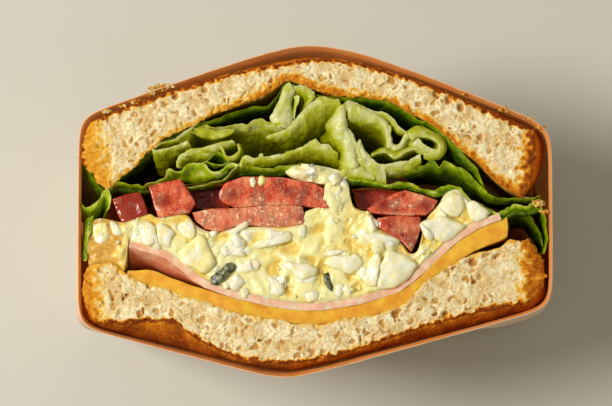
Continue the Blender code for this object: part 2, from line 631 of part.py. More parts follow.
LEAVES = {
    "leaf_outer": Leaf(
        outer_leaf_rim(0.85), outer_leaf_rim(3.0), (1.5, 54), "lettuce_green", 0.5, (24, 4), 0.08),
    "leaf_wide": Leaf(
        ((-40.2, 13.9), (-39.2, 14.9), (-37, 16), (-34.4, 17.2), (-32, 18.6), (-30, 19.9),
         (-27.6, 21), (-25.4, 20.3), (-20, 21.3), (-16.6, 21.4), (-14.6, 22.6), (-12.8, 22.4),
         (-11.8, 21.4)),
        ((-38, 10.6), (-35.5, 12), (-33, 12.8), (-30, 13.4), (-27, 13.8), (-23, 14.2),
         (-18, 14.8), (-14, 15.2), (-11.8, 15.2)),
        (1.6, 24), "lettuce_pale", cells=(14, 4)),
    "leaf_inner": Leaf(
        ((-9, 28), (-3.7, 29), (1.2, 27.4), (7.5, 26), (13.7, 25.6), (18.7, 24.2),
         (23.7, 21.6), (27, 19.6)),
        ((-9, 13.6), (-3, 13.4), (3, 13), (9, 12.6), (15, 12.4), (21, 12.4), (27, 12.8)),
        (14.6, 22), "lettuce_pale", 0.5, (10, 3), 0.2),
    "leaf_fold": Leaf(
        ((-40, 13.2), (-37.4, 14.4), (-34, 15.2), (-31, 16.6), (-28.6, 17.6), (-25, 18)),
        ((-38.4, 9.8), (-36, 10.4), (-33.6, 11.4), (-31, 13), (-28.4, 14), (-25.4, 14.8)),
        (0.4, 7), "lettuce_pale", cells=(9, 3)),
    "leaf_curl": Leaf(
        ((-34.4, 11.8), (-34.2, 13), (-32.8, 14.1), (-31, 14.9), (-28.6, 15.5), (-26.2, 16),
         (-24.4, 16.2), (-23.2, 15.4), (-22.5, 14.1), (-21.3, 13.4), (-19.9, 13.9), (-19, 15.1),
         (-19.1, 16.4)),
        ((-33, 11.5), (-32.4, 12), (-30.8, 12.3), (-28.6, 12.5), (-26.4, 12.7), (-24.8, 13.1),
         (-23.8, 13.2), (-22.8, 12.9), (-21.6, 12.5), (-20.4, 12.8), (-19.7, 13.6),
         (-19.5, 14.6)),
        (0.2, 4.4), "lettuce_pale", cells=(16, 3), wave=0.05),
    "leaf_frill": Leaf(
        ((-38.2, 8.9), (-37.5, 9.9), (-36.3, 10.5), (-34.2, 9.7), (-32.4, 10.2), (-30, 10.7),
         (-27.5, 11.2), (-25.6, 10.4), (-23.6, 10.2), (-22, 11.2), (-20.4, 11.4)),
        ((-37.6, 9.1), (-36.4, 9.4), (-34.4, 9.3), (-32, 9.3), (-29, 9.3), (-26, 9.1),
         (-23.6, 9.4), (-21, 10.4)),
        (0.4, 9), "lettuce_green", cells=(11, 3), wave=0.05),
    "leaf_core_tip": Leaf(
        ((-11, 23.4), (-10, 25.8), (-9, 28.4), (-7.6, 30.4), (-5.6, 31)),
        ((-4.6, 23), (-3.6, 25), (-1.6, 27.2), (0, 28), (-1.4, 29.6)),
        (0.4, 4.2), "lettuce_pale", 0.9, (6, 3), 0.2),
    "leaf_core_blade": Leaf(
        ((-11.4, 18), (-7, 16.6), (-3, 16.8), (1, 18.8), (4.2, 21.4), (5.6, 24.6)),
        ((-10.6, 18.9), (-6.6, 18.8), (-3, 20.2), (0.2, 22.8), (2.8, 25.2), (4, 26.8)),
        (0.2, 4.2), "lettuce_pale", 0.9, (8, 3), 0.1),
    "leaf_wedge": Leaf(
        ((-18.6, 12.6), (-16.6, 13.6), (-13.4, 14.2), (-10, 13.7), (-6.2, 14.6), (-3.7, 15.4),
         (0, 17), (3.4, 15.8), (5.2, 14.6)),
        ((-17.4, 11.4), (-15, 12), (-9.4, 12.2), (-3.6, 12.5), (0, 12.7), (2.2, 12.5),
         (4.4, 12.4)),
        (0.2, 6), "lettuce_pale", 0.6, (12, 3), 0.1),
    "leaf_rib": Leaf(
        ((7.6, 26.4), (8, 23), (8.9, 19.4), (10.4, 16), (12.6, 13.6), (15, 12.2)),
        ((4.9, 20.6), (5.2, 18.4), (6, 15.9), (7.6, 13.2), (9.8, 11.6), (12, 11)),
        (0, 12), "lettuce_pale", 1.5, (8, 4), 0.15),
    "leaf_ring": Leaf(
        ((9.4, 27), (12.4, 25.8), (16.2, 24.2), (18, 22), (18.1, 19), (19, 17), (21, 16.4),
         (22.6, 17.8), (23.6, 20)),
        ((10.6, 23.4), (12.8, 22.8), (14.9, 21.4), (15.8, 19.4), (16.2, 17), (17.6, 14.9),
         (20.6, 14.4), (23.2, 15.2), (25, 17)),
        (0, 13), "lettuce_pale", 0.8, (14, 3), 0.1),
    "leaf_loop": Leaf(
        ((25.4, 20.6), (28.2, 20.6), (30.8, 19), (32.2, 16.4), (31, 13.9), (28, 13.1),
         (24.8, 14.4), (20.6, 13.2), (16.4, 13.9)),
        ((26.4, 18.9), (28.2, 18.7), (29.8, 17.6), (30.4, 16.2), (29.6, 15), (27.6, 14.6),
         (25, 15.7), (21, 14), (17.2, 14.4)),
        (0, 6), "lettuce_pale", 0.8, (16, 3), 0.05),
    "leaf_band": Leaf(
        ((8, 9.5), (11, 10.3), (15.6, 11), (20.6, 11.6), (25.6, 12.6)),
        ((8.6, 8.9), (12, 9.1), (16.4, 9.6), (21, 9.9), (26, 10.8)),
        (0, 10), "lettuce_pale", 0.9, (9, 3), 0.05),
    "leaf_right": Leaf(
        ((27, 9.6), (29.4, 11.2), (33, 11.2), (37.4, 9.9), (39.8, 7.2), (42.2, 4.4),
         (45.4, 2.9), (50, 2.5), (54, 2.7)),
        ((27.4, 8.6), (30, 9.2), (33.4, 9), (37, 7.6), (40, 5.4), (42.8, 3.2), (46, 1.7),
         (50, 1.5), (53, 1.8)),
        (0.4, 20), "lettuce_green", cells=(13, 3), wave=0.1),
    "leaf_lower_left": Leaf(
        ((-50.6, 5.4), (-47, 5.9), (-43.6, 6.4), (-41, 7.4), (-38, 8), (-33.7, 8.7), (-29, 8.1),
         (-25.6, 8), (-22.4, 8.6), (-20, 10.2), (-17, 10.8), (-12, 10.8), (-7.6, 11.6)),
        ((-50.2, 4.9), (-46, 5.4), (-43, 6.3), (-40, 7.3), (-37, 7.9), (-33.4, 8.4), (-29, 7.9),
         (-25, 7.9), (-22, 8.6), (-18, 9.5), (-12, 9.6), (-7.6, 9.8)),
        (0.5, 46), "lettuce_green", 0.45, (20, 4), 0.05),
    "leaf_lower_right": Leaf(
        ((9.4, 8.1), (12, 8.3), (16, 8), (21, 7.4), (28, 6.6), (34, 6.2), (38, 4.5), (42, 2),
         (46.5, 0.8), (50, 1), (53, 1.6)),
        ((9.4, 7.6), (15, 7.3), (21, 6.8), (28, 6.1), (34, 5.7), (38, 3.9), (42, 1.6),
         (46.5, 0.7), (50, 0.5), (53, 0.6)),
        (0.5, 46), "lettuce_green", 0.45, (14, 4), 0.05),
    "leaf_end_left": Leaf(
        ((-57.4, 10.6), (-57, 7.2), (-55.2, 4.6), (-53.2, 3.4), (-52.6, 0.4), (-54.6, -1.2),
         (-56.8, -2.8)),
        ((-57.4, 9.2), (-57, 6.4), (-55.8, 4), (-54.2, 2.4), (-53.8, 0.6), (-55.4, -0.6),
         (-57, -1.6)),
        (0, 12), "lettuce_green", 0.5, (11, 3), 0.05),
    "leaf_end_right": Leaf(
        ((55.4, 3.2), (57, 1), (57.4, -3), (57.2, -7), (56.6, -10.6)),
        ((55.2, 1.6), (56.4, -0.4), (56.8, -3.8), (56.6, -7.4), (56.2, -10.4)),
        (0, 14), "lettuce_green", 0.5, (8, 3), 0.05),
}  # fmt: skip


def main():
    """Clears the scene and builds every piece of the half sandwich."""
    for old in list(bpy.data.objects):
        bpy.data.objects.remove(old)
    paper_wrap()
    bread("bread_upper", UPPER_FACE, UPPER_CRUST, (3.7, 1.4), upper=True)
    bread("bread_lower", LOWER_FACE, LOWER_CRUST, (1.8, 3.4), upper=False)
    cheese()
    ham()
    for name, (outline, far_end, lean) in TOMATOES.items():
        plug(name, outline, far_end, "tomato", lean=lean)
    egg_salad()
    for name, leaf in LEAVES.items():
        sheet(name, leaf.surface(), leaf.thick, leaf.finish)


main()
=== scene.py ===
"""Looks of half an egg salad sandwich in its paper wrap, standing on its back, cut face up.

The cut lies 60 mm over the table. Pieces are laid out in millimetres on the cut, X along the
slices and Y from the lower slice to the upper one. Those that the eye looks into, such as the
leaves, are laid out by where they stand in the camera's frame, and how deep below the cut.
"""

import logging
import math
from dataclasses import dataclass, field
from enum import Enum

import bpy
import numpy as np
from mathutils import Euler, Matrix, Vector


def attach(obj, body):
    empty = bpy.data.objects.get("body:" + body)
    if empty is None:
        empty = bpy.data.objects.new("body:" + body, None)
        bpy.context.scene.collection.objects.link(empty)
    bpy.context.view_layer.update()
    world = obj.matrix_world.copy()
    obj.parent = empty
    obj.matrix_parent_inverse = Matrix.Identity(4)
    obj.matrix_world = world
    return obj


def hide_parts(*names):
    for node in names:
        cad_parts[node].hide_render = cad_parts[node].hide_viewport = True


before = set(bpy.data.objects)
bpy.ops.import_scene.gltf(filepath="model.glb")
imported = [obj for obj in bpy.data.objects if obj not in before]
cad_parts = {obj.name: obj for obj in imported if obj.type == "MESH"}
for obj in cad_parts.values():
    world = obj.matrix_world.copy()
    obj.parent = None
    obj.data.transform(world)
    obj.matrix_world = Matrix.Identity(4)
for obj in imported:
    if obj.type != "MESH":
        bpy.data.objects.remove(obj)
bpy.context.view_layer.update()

LOG = logging.getLogger("sandwich")
MM = 0.001
PER_METRE = 1000
CUT = 60.0  # height of the cut over the table, in millimetres
CURVE_STEPS = 16  # points of a smooth curve between two knots
HEIGHT_STEPS = 400  # points of a curve that heights are read from
MERGE_GAP = 2e-6  # in metres
Pair = tuple[float, float]
Triple = tuple[float, float, float]
Line = tuple[Pair, ...]
Colour = Triple
Array = np.ndarray
Piece = bpy.types.Object
Material = bpy.types.Material
Socket = bpy.types.NodeSocket


def srgb(red: float, green: float, blue: float) -> Colour:
    """Linear colour from the 0 to 255 numbers of a screen colour.

    Args:
        red: 0 to 255.
        green: 0 to 255.
        blue: 0 to 255.

    Returns:
        The colour as materials take it.
    """
    parts = np.array((red, green, blue)) / 255
    linear = np.where(parts <= 0.04045, parts / 12.92, ((parts + 0.055) / 1.055) ** 2.4)
    return tuple(float(part) for part in linear)


# --- curves and noise


def pairs(*numbers: float) -> Line:
    """The points of a line, written as x, y, x, y."""
    return tuple(zip(numbers[::2], numbers[1::2]))


def curve(points: Line | Array, count: int) -> Array:
    """Evenly spaced points along a smooth curve through the given ones.

    Args:
        points: The knots, of two or three coordinates.
        count: How many points are wanted.

    Returns:
        An array of count points.
    """
    knots = np.array(points, float)
    run = np.vstack([2 * knots[0] - knots[1], knots, 2 * knots[-1] - knots[-2]])
    t = np.linspace(0, 1, CURVE_STEPS, endpoint=False)[:, None]
    fine = []
    for a, b, c, d in zip(run, run[1:], run[2:], run[3:]):
        bend = (2 * a - 5 * b + 4 * c - d) * t**2 + (3 * b - a - 3 * c + d) * t**3
        fine.append((2 * b + (c - a) * t + bend) / 2)
    fine = np.vstack([*fine, knots[-1:]])
    length = np.concatenate([[0], np.cumsum(np.linalg.norm(np.diff(fine, axis=0), axis=1))])
    stops = np.linspace(0, length[-1], count)
    return np.column_stack([np.interp(stops, length, column) for column in fine.T])


def height_on(points: Line, x: Array | float) -> Array:
    """Height at x of the curve through points, which runs from left to right.

    Args:
        points: The curve's knots.
        x: Where to read it.

    Returns:
        The height at each x.
    """
    fine = curve(points, HEIGHT_STEPS)
    return np.interp(x, fine[:, 0], fine[:, 1])


def ease(value: Array | float, low: float, high: float) -> Array:
    """Smooth step from 0 at low to 1 at high.

    Args:
        value: The numbers to bend.
        low: Where the step starts.
        high: Where it ends, also below low.

    Returns:
        Numbers from 0 to 1.
    """
    t = np.clip((np.asarray(value, float) - low) / (high - low), 0, 1)
    return t * t * (3 - 2 * t)


class Grain:
    """Seeded smooth noise and cell patterns over points given in millimetres."""

    rows = 4096  # of the tables, a power of two
    gain = 1.7  # brings the noise to about -1 to 1
    octave_shift = 31.7
    far = 9.0  # more than any distance to a cell point

    def __init__(self, seed: int) -> None:
        """Draws the tables of slopes and cell points for this seed.

        Args:
            seed: Two grains with the same seed are the same.
        """
        draw = np.random.default_rng(seed)
        self.order = draw.permutation(self.rows)
        slopes = draw.normal(size=(self.rows, 3))
        self.slopes = slopes / np.linalg.norm(slopes, axis=1, keepdims=True)
        self.seats = draw.random((self.rows, 4))

    def pick(self, cell: Array) -> Array:
        """Row of the tables that stands for each whole-numbered cell.

        Args:
            cell: Whole numbers in three columns.

        Returns:
            The row for each cell.
        """
        last = self.rows - 1
        x, y, z = cell.T
        return self.order[(x + self.order[(y + self.order[z & last]) & last]) & last]

    def smooth(self, points: Array, size: float, octaves: int = 1) -> Array:
        """Gradient noise from about -1 to 1 with lumps of a size, finer ones added by octaves.

        Args:
            points: Where to read the noise, in millimetres.
            size: The size of its lumps.
            octaves: How many layers, each half as large as the last.

        Returns:
            A number for each point.
        """
        total = np.zeros(len(points))
        for octave in range(octaves):
            at = points * (2**octave / size) + self.octave_shift * octave
            base = np.floor(at).astype(np.int64)
            part = at - base
            fade = part**3 * (part * (part * 6 - 15) + 10)
            for corner in np.ndindex(2, 2, 2):
                slope = self.slopes[self.pick(base + corner)]
                share = np.where(corner, fade, 1 - fade).prod(axis=1)
                total += share * ((part - corner) * slope).sum(axis=1) * self.gain / 2**octave
        return total

    def cells(self, points: Array, size: float) -> tuple[Array, Array, Array]:
        """Distances to the two nearest cell points, in cell sizes, and a number of the cell.

        Args:
            points: Where to read the pattern, in millimetres.
            size: The size of its cells.

        Returns:
            Three numbers for each point.
        """
        at = points / size
        base = np.floor(at).astype(np.int64)
        best, second = np.full(len(at), self.far), np.full(len(at), self.far)
        number = np.zeros(len(at))
        for corner in np.ndindex(3, 3, 3):
            cell = base + corner - 1
            seat = self.seats[self.pick(cell)]
            gap = np.linalg.norm(cell + seat[:, :3] - at, axis=1)
            second = np.minimum(second, np.maximum(best, gap))
            number = np.where(gap < best, seat[:, 3], number)
            best = np.minimum(best, gap)
        return best, second, number


GRAIN = Grain(7)


def spread(flat: Array, height: float = CUT) -> Array:
    """Flat points as points in space at one height."""
    return np.column_stack([flat, np.full(len(flat), height)])


# --- the section and the camera


@dataclass(frozen=True)
class Section:
    """The wrap's outline on the cut, and how the half draws in below it, in millimetres."""

    top_apex: Pair = (-1.25, 41.25)
    top_slopes: Pair = (0.36, 0.43)
    top_round: Pair = (9.0, 15.0)
    base_apex: Pair = (-7.5, -41.25)
    base_slopes: Pair = (0.267, 0.28)
    base_round: Pair = (5.0, 5.0)
    half_width: float = 59.0
    corner_round: float = 2.2
    end_top: float = 21.5
    end_base: float = -27.0
    pinch: float = 0.8
    pinch_power: float = 1.3
    filling_share: float = 0.7
    side_flare: float = 2.8
    flare_power: float = 0.8
    upper_flare: float = 0.42  # what the sides have of it above the lower slice
    flare_span: Pair = (16.0, 28.0)  # under the middle, where it grows to full
    beyond: float = 90.0  # farther out than any point of the outline
    halvings: int = 34

    @staticmethod
    def arch(x: Array, apex: tuple, slopes: tuple, crowns: tuple) -> Array:
        """Depth below a rounded ridge with straight flanks.

        Args:
            x: Where to read it.
            apex: The ridge's place; its height isn't used.
            slopes: Of the left flank and the right one.
            crowns: How wide the ridge is rounded, to either side.

        Returns:
            The depth at each x.
        """
        run = np.asarray(x, float) - apex[0]
        slope, crown = (np.where(run < 0, *pair) for pair in (slopes, crowns))
        return slope * (np.sqrt(run**2 + crown**2) - crown)

    def top(self, x: Array) -> Array:
        """Height of the wrap over the upper slice."""
        return self.top_apex[1] - self.arch(x, self.top_apex, self.top_slopes, self.top_round)

    def base(self, x: Array) -> Array:
        """Height of the wrap under the lower slice."""
        return self.base_apex[1] + self.arch(x, self.base_apex, self.base_slopes, self.base_round)

    def settle(self, points: Array) -> Array:
        """Points of the straight section drawn in towards the back, as the wrap does it.

        Args:
            points: Points in space, in millimetres.

        Returns:
            The points as the wrap holds them.
        """
        x, y, z = np.asarray(points, float).T
        depth = np.clip(1 - z / CUT, 0, 1)
        top, base = self.top(x), self.base(x)
        edge = np.where(y > 0, top, base)
        over, under = np.maximum(top - self.end_top, 0), np.minimum(base - self.end_base, 0)
        share = np.clip(np.abs(y) / (self.filling_share * np.abs(edge)), 0, 1)
        drawn = y - self.pinch * np.where(y > 0, over, under) * share * depth**self.pinch_power
        flare = self.upper_flare + (1 - self.upper_flare) * ease(-y, *self.flare_span)
        swell = np.sin(math.pi * depth**self.flare_power) * flare
        wide = x + self.side_flare * swell * (x / self.half_width) ** 3
        return np.column_stack([wide, drawn, z])

    def edge(self, start: Array, way: Array, inset: Array | float) -> Array:
        """Distances from start points along ways to the wrap's outline, set in by inset.

        Args:
            start: Points on the cut.
            way: A unit direction for each.
            inset: How far inside the outline to stop.

        Returns:
            The distance for each point.
        """
        near, far = np.zeros(len(way)), np.full(len(way), self.beyond)
        for _ in range(self.halvings):
            reach = (near + far) / 2
            x, y = (start + way * reach[:, None]).T
            over = np.array([y - self.top(x), self.base(x) - y, np.abs(x) - self.half_width])
            total = np.exp(np.clip((over + inset) / self.corner_round, -50, 50)).sum(axis=0)
            outside = total > 1
            near, far = np.where(outside, near, reach), np.where(outside, reach, far)
        return near


SECTION = Section()


@dataclass(frozen=True)
class Viewpoint:
    """The photograph's camera: where it looks, from how far, and how steeply from below."""

    target: Triple = (-2.25, 2.0, CUT)
    distance: float = 750.0
    elevation: float = 85.5
    lens: float = 176.5
    sensor: float = 36.0
    clip: Pair = (0.01, 10.0)  # in metres
    pixels: float = 4.0  # of the photograph to a millimetre of the cut
    middle: Pair = (315.0, 211.0)  # the pixel of the section's origin

    def eye(self) -> Array:
        """Where the camera stands, in millimetres.

        Returns:
            A point in space.
        """
        tilt = math.radians(self.elevation)
        back = np.array((0, -math.cos(tilt), math.sin(tilt))) * self.distance
        return np.array(self.target) + back

    def sight(self, pixels: Line | Array, depth: float | Array) -> Array:
        """Points in space that stand at these pixels of the frame, at a depth below the cut.

        Args:
            pixels: Columns and rows of the frame.
            depth: For all points, or one for each.

        Returns:
            A point in space for each pixel.
        """
        px, py = np.array(pixels, float).T
        flat = np.column_stack([px - self.middle[0], self.middle[1] - py]) / self.pixels
        on_cut, eye = spread(flat), self.eye()
        share = np.asarray(depth, float) / (eye[2] - CUT)
        return on_cut + (on_cut - eye) * np.reshape(share, (-1, 1))

    def pixels_of(self, points: Array) -> Array:
        """Pixels of the frame at which points in space are seen.

        Args:
            points: Points in space, in millimetres.

        Returns:
            A column and a row for each point.
        """
        eye = self.eye()
        away = np.asarray(points, float) - eye
        flat = (eye + away * ((CUT - eye[2]) / away[:, 2])[:, None])[:, :2] * self.pixels
        return np.column_stack([flat[:, 0] + self.middle[0], self.middle[1] - flat[:, 1]])

    def place(self) -> None:
        """Adds the camera and makes it the scene's."""
        data = bpy.data.cameras.new("camera")
        data.sensor_width, data.lens = self.sensor, self.lens
        data.clip_start, data.clip_end = self.clip
        camera = bpy.data.objects.new("camera", data)
        bpy.context.scene.collection.objects.link(camera)
        camera.location = Vector(self.eye()) * MM
        look = Vector(self.target) * MM - camera.location
        camera.rotation_euler = look.to_track_quat("-Z", "Y").to_euler()
        bpy.context.scene.camera = camera


VIEW = Viewpoint()


# --- making meshes


def deselect() -> None:
    """Leaves object mode's selection empty."""
    bpy.ops.object.select_all(action="DESELECT")


def only(piece: Piece) -> None:
    """Makes one object the selected and active one.

    Args:
        piece: The object to select.
    """
    deselect()
    piece.select_set(True)
    bpy.context.view_layer.objects.active = piece


def place_points(piece: Piece, points: Array) -> None:
    """Moves every vertex of a mesh to its point, given in millimetres.

    Args:
        piece: The object, whose mesh is changed.
        points: A point for each vertex, in order.
    """
    flat = (np.asarray(points, float).reshape(-1, 3) * MM).astype(np.float32)
    piece.data.vertices.foreach_set("co", flat.ravel())
    piece.data.update()


def points_of(piece: Piece) -> Array:
    """The mesh's vertices, in millimetres.

    Args:
        piece: The object to read.

    Returns:
        An array of points in order.
    """
    flat = np.empty(len(piece.data.vertices) * 3, np.float32)
    piece.data.vertices.foreach_get("co", flat)
    return flat.reshape(-1, 3).astype(float) / MM


def mark(piece: Piece, name: str, values: Array) -> None:
    """Stores a number for each vertex, which a material reads by name.

    Args:
        piece: The object, whose mesh is changed.
        name: The name of the numbers.
        values: A number for each vertex, in order.
    """
    held = piece.data.attributes.get(name)
    held = held or piece.data.attributes.new(name, "FLOAT", "POINT")
    held.data.foreach_set("value", np.asarray(values, np.float32).ravel())


def marked(piece: Piece, name: str) -> Array:
    """Reads back the numbers stored under a name.

    Args:
        piece: The object to read.
        name: The name of the numbers.

    Returns:
        A number for each vertex.
    """
    values = np.empty(len(piece.data.vertices), np.float32)
    piece.data.attributes[name].data.foreach_get("value", values)
    return values.astype(float)


def lay_grid(name: str, points: Array, marks: dict | None = None) -> Piece:
    """A grid primitive whose points are moved to the given rows and columns.

    Args:
        name: The piece's name.
        points: An array of rows, columns and coordinates in millimetres.
        marks: Numbers for the vertices, by name, each in the shape of the grid.

    Returns:
        The new object, whose UV map runs along the rows and columns in millimetres.
    """
    rows, columns = points.shape[:2]
    deselect()
    bpy.ops.mesh.primitive_grid_add(x_subdivisions=columns - 1, y_subdivisions=rows - 1, size=0.1)
    piece = bpy.context.object
    piece.name = piece.data.name = name
    place_points(piece, points)
    for key, values in (marks or {}).items():
        mark(piece, key, values)
    along = np.linalg.norm(np.diff(points, axis=1), axis=2)
    down = np.linalg.norm(np.diff(points, axis=0), axis=2)
    u = np.concatenate([[0], np.cumsum(along[rows // 2])])
    v = np.concatenate([[0], np.cumsum(down.mean(axis=1))])
    grid = np.stack(np.broadcast_arrays(u[None, :], v[:, None]), axis=-1).reshape(-1, 2)
    corners = np.empty(len(piece.data.loops), np.int32)
    piece.data.loops.foreach_get("vertex_index", corners)
    piece.data.uv_layers.active.data.foreach_set("uv", grid[corners].astype(np.float32).ravel())
    return piece


def merge(piece: Piece) -> None:
    """Closes seams and poles, and turns the faces outwards.

    Args:
        piece: The object, whose mesh is changed.
    """
    only(piece)
    bpy.ops.object.mode_set(mode="EDIT")
    bpy.ops.mesh.select_all(action="SELECT")
    bpy.ops.mesh.remove_doubles(threshold=MERGE_GAP)
    bpy.ops.mesh.normals_make_consistent(inside=False)
    bpy.ops.object.mode_set(mode="OBJECT")


def thicken(piece: Piece, thickness: float, shares: Array | None = None) -> None:
    """Gives a sheet its thickness, half to each side, with an applied Solidify.

    Args:
        piece: The sheet, made by lay_grid.
        thickness: The full thickness in millimetres.
        shares: The share of the thickness that each row of the grid has.
    """
    only(piece)
    wall = piece.modifiers.new("thickness", "SOLIDIFY")
    wall.thickness = thickness * MM
    wall.offset = 0.0
    if shares is not None:
        group = piece.vertex_groups.new(name="thickness")
        columns = len(piece.data.vertices) // len(shares)
        for row, share in enumerate(shares):
            group.add(list(range(row * columns, (row + 1) * columns)), float(share), "REPLACE")
        wall.vertex_group = group.name
    bpy.ops.object.modifier_apply(modifier=wall.name)


def shade(piece: Piece, angle: float = 60.0) -> None:
    """Shades smooth, with sharp edges kept past an angle in degrees.

    Args:
        piece: The object, whose mesh is changed.
        angle: In degrees.
    """
    only(piece)
    bpy.ops.object.shade_smooth_by_angle(angle=math.radians(angle))


def joined(name: str, parts: list[Piece]) -> Piece:
    """Makes one mesh of several parts, which keep their marks.

    Args:
        name: The name of the new mesh.
        parts: The objects that go into it.

    Returns:
        The object that is left.
    """
    deselect()
    for part in parts:
        part.select_set(True)
    bpy.context.view_layer.objects.active = parts[0]
    if len(parts) > 1:
        bpy.ops.object.join()
    piece = bpy.context.view_layer.objects.active
    piece.name = piece.data.name = name
    return piece


class Slot(Enum):
    """The record's material slots."""

    PAPER = "wrap_paper"
    TOAST = "toast"
    CHEESE = "cheese"
    HAM = "ham"
    EGG = "egg_salad"
    TOMATO = "tomato"
    GREEN = "lettuce_green"
    PALE = "lettuce_pale"


def finish_piece(
    piece: Piece, look: Material, slot: Slot, *nodes: str, angle: float = 60.0
) -> None:
    """Gives a piece its material and place in the frame, and reports it.

    Args:
        piece: The object, whose mesh is done.
        look: Its material.
        slot: Not used.
        nodes: The CAD nodes that it stands for.
        angle: Edges sharper than this, in degrees, stay sharp.
    """
    shade(piece, angle)
    piece.data.materials.clear()
    piece.data.materials.append(look)
    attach(piece, "root")
    if nodes:
        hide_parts(*nodes)
    size = np.ptp(points_of(piece), axis=0)
    LOG.info("%s: %d faces, %.1f x %.1f x %.1f mm", piece.name, len(piece.data.polygons), *size)


# --- making materials


class Shader:
    """Builds one material node by node. Sizes are in millimetres of the object."""

    def __init__(self, name: str) -> None:
        """Starts a material with its Principled shader and object coordinates.

        Args:
            name: The material's name.
        """
        self.material = bpy.data.materials.new(name)
        self.material.use_nodes = True
        self.nodes = self.material.node_tree.nodes
        self.links = self.material.node_tree.links
        self.surface = self.nodes["Principled BSDF"]
        self.place = self.add("TexCoord").outputs["Object"]

    def put(self, socket: Socket, value: object) -> None:
        """Links a socket to another one, or sets it to a value.

        Args:
            socket: An input of a node.
            value: A socket, a number, or numbers.
        """
        if isinstance(value, Socket):
            self.links.new(value, socket)
        elif socket.type == "RGBA" and len(value) == 3:
            socket.default_value = (*value, 1)
        else:
            socket.default_value = value

    def add(self, kind: str, inputs: dict | None = None, **settings: object) -> bpy.types.Node:
        """Adds a node of a kind, with its settings and its inputs by name or number.

        Args:
            kind: The node's type without its prefix.
            inputs: Values or sockets, by name or number.
            settings: The node's own properties.

        Returns:
            The new node.
        """
        node = self.nodes.new("ShaderNode" + kind)
        for key, value in settings.items():
            setattr(node, key, value)
        for key, value in (inputs or {}).items():
            self.put(node.inputs[key], value)
        return node

    def set(self, **inputs: object) -> None:
        """Sets the Principled shader's inputs; underscores in their names stand for spaces.

        Args:
            inputs: Values or sockets by input name.
        """
        for key, value in inputs.items():
            self.put(self.surface.inputs[key.replace("_", " ")], value)

    def stretched(self, across: float, along: float, up: float = 1.0) -> Socket:
        """Object coordinates squeezed so that patterns come out this much longer on each axis.

        Args:
            across: Length along X.
            along: Length along Y.
            up: Length along Z.

        Returns:
            The coordinates.
        """
        scale = (1 / across, 1 / along, 1 / up)
        return self.add("Mapping", {"Vector": self.place, "Scale": scale}).outputs[0]

    def noise(self, size: float, detail: float = 3, at: Socket | None = None,
              rough: float = 0.55, twist: float = 0.0) -> Socket:
        """Soft noise from 0 to 1 with lumps of a size.

        Args:
            size: The size of the lumps.
            detail: How many finer layers.
            at: Coordinates other than the object's own.
            rough: How strong the finer layers are.
            twist: How far it is distorted.

        Returns:
            A value from 0 to 1.
        """
        inputs = {"Vector": at or self.place, "Scale": PER_METRE / size, "Detail": detail}
        inputs |= {"Roughness": rough, "Distortion": twist}
        return self.add("TexNoise", inputs).outputs["Fac"]

    def cells(self, size: float, at: Socket) -> Socket:
        """Distance to the edge of the cell that a place lies in.

        Args:
            size: The size of the cells.
            at: The coordinates of the place.

        Returns:
            A distance in cell sizes.
        """
        inputs = {"Vector": at, "Scale": PER_METRE / size}
        return self.add("TexVoronoi", inputs, feature="DISTANCE_TO_EDGE").outputs["Distance"]

    def ramp(self, value: Socket, *stops: tuple[float, Colour | float]) -> Socket:
        """Colours, or greys, between stops of a value.

        Args:
            value: What the stops are read by.
            stops: Positions with their colour or grey.

        Returns:
            The colour.
        """
        node = self.add("ValToRGB", {"Fac": value})
        while len(node.color_ramp.elements) < len(stops):
            node.color_ramp.elements.new(0.5)
        for element, (at, colour) in zip(node.color_ramp.elements, stops):
            element.position = at
            grey = isinstance(colour, (int, float))
            element.color = (colour,) * 3 + (1,) if grey else (*colour, 1)
        return node.outputs["Color"]

    def fade(self, value: Socket, low: float, high: float, top: float = 1.0) -> Socket:
        """Grey that grows from 0 at low to top at high, as a colour ramp."""
        return self.ramp(value, (low, 0.0), (high, top))

    def span(self, value: Socket, low: float, high: float, start: float = 0.0,
             end: float = 1.0) -> Socket:
        """Maps a value from low..high to start..end, held at both ends.

        Args:
            value: The value to map.
            low: Its lower end.
            high: Its upper end.
            start: What low becomes.
            end: What high becomes.

        Returns:
            The mapped value.
        """
        inputs = {0: value, 1: low, 2: high, 3: start, 4: end}
        return self.add("MapRange", inputs).outputs[0]

    def mix(self, share: Socket | float, one: object, other: object) -> Socket:
        """Mixes two colours.

        Args:
            share: How much of the other colour shows.
            one: The first colour.
            other: The other colour.

        Returns:
            The mixed colour.
        """
        node = self.add("Mix", {0: share, 6: one, 7: other}, data_type="RGBA")
        return node.outputs[2]

    def math(self, how: str, one: object, other: object = 0.0) -> Socket:
        """Arithmetic on two values."""
        return self.add("Math", {0: one, 1: other}, operation=how).outputs[0]

    def marked(self, name: str) -> Socket:
        """A number that the mesh stores at each vertex."""
        return self.add("Attribute", attribute_name=name).outputs["Fac"]

    def bump(self, height: Socket, depth: float, strength: float = 1.0,
             over: Socket | None = None) -> Socket:
        """A normal from a height pattern of a depth in millimetres.

        Args:
            height: The pattern.
            depth: How high it is, in millimetres.
            strength: How much of it shows.
            over: Another normal that it comes on top of.

        Returns:
            The normal.
        """
        inputs = {"Height": height, "Distance": depth * MM, "Strength": strength}
        if over:
            inputs["Normal"] = over
        return self.add("Bump", inputs).outputs[0]

    def soft(self, weight: float, radius: Colour, scale: float) -> None:
        """Lets light into the surface: radius by colour, and scale in millimetres."""
        self.set(Subsurface_Weight=weight, Subsurface_Radius=radius, Subsurface_Scale=scale * MM)

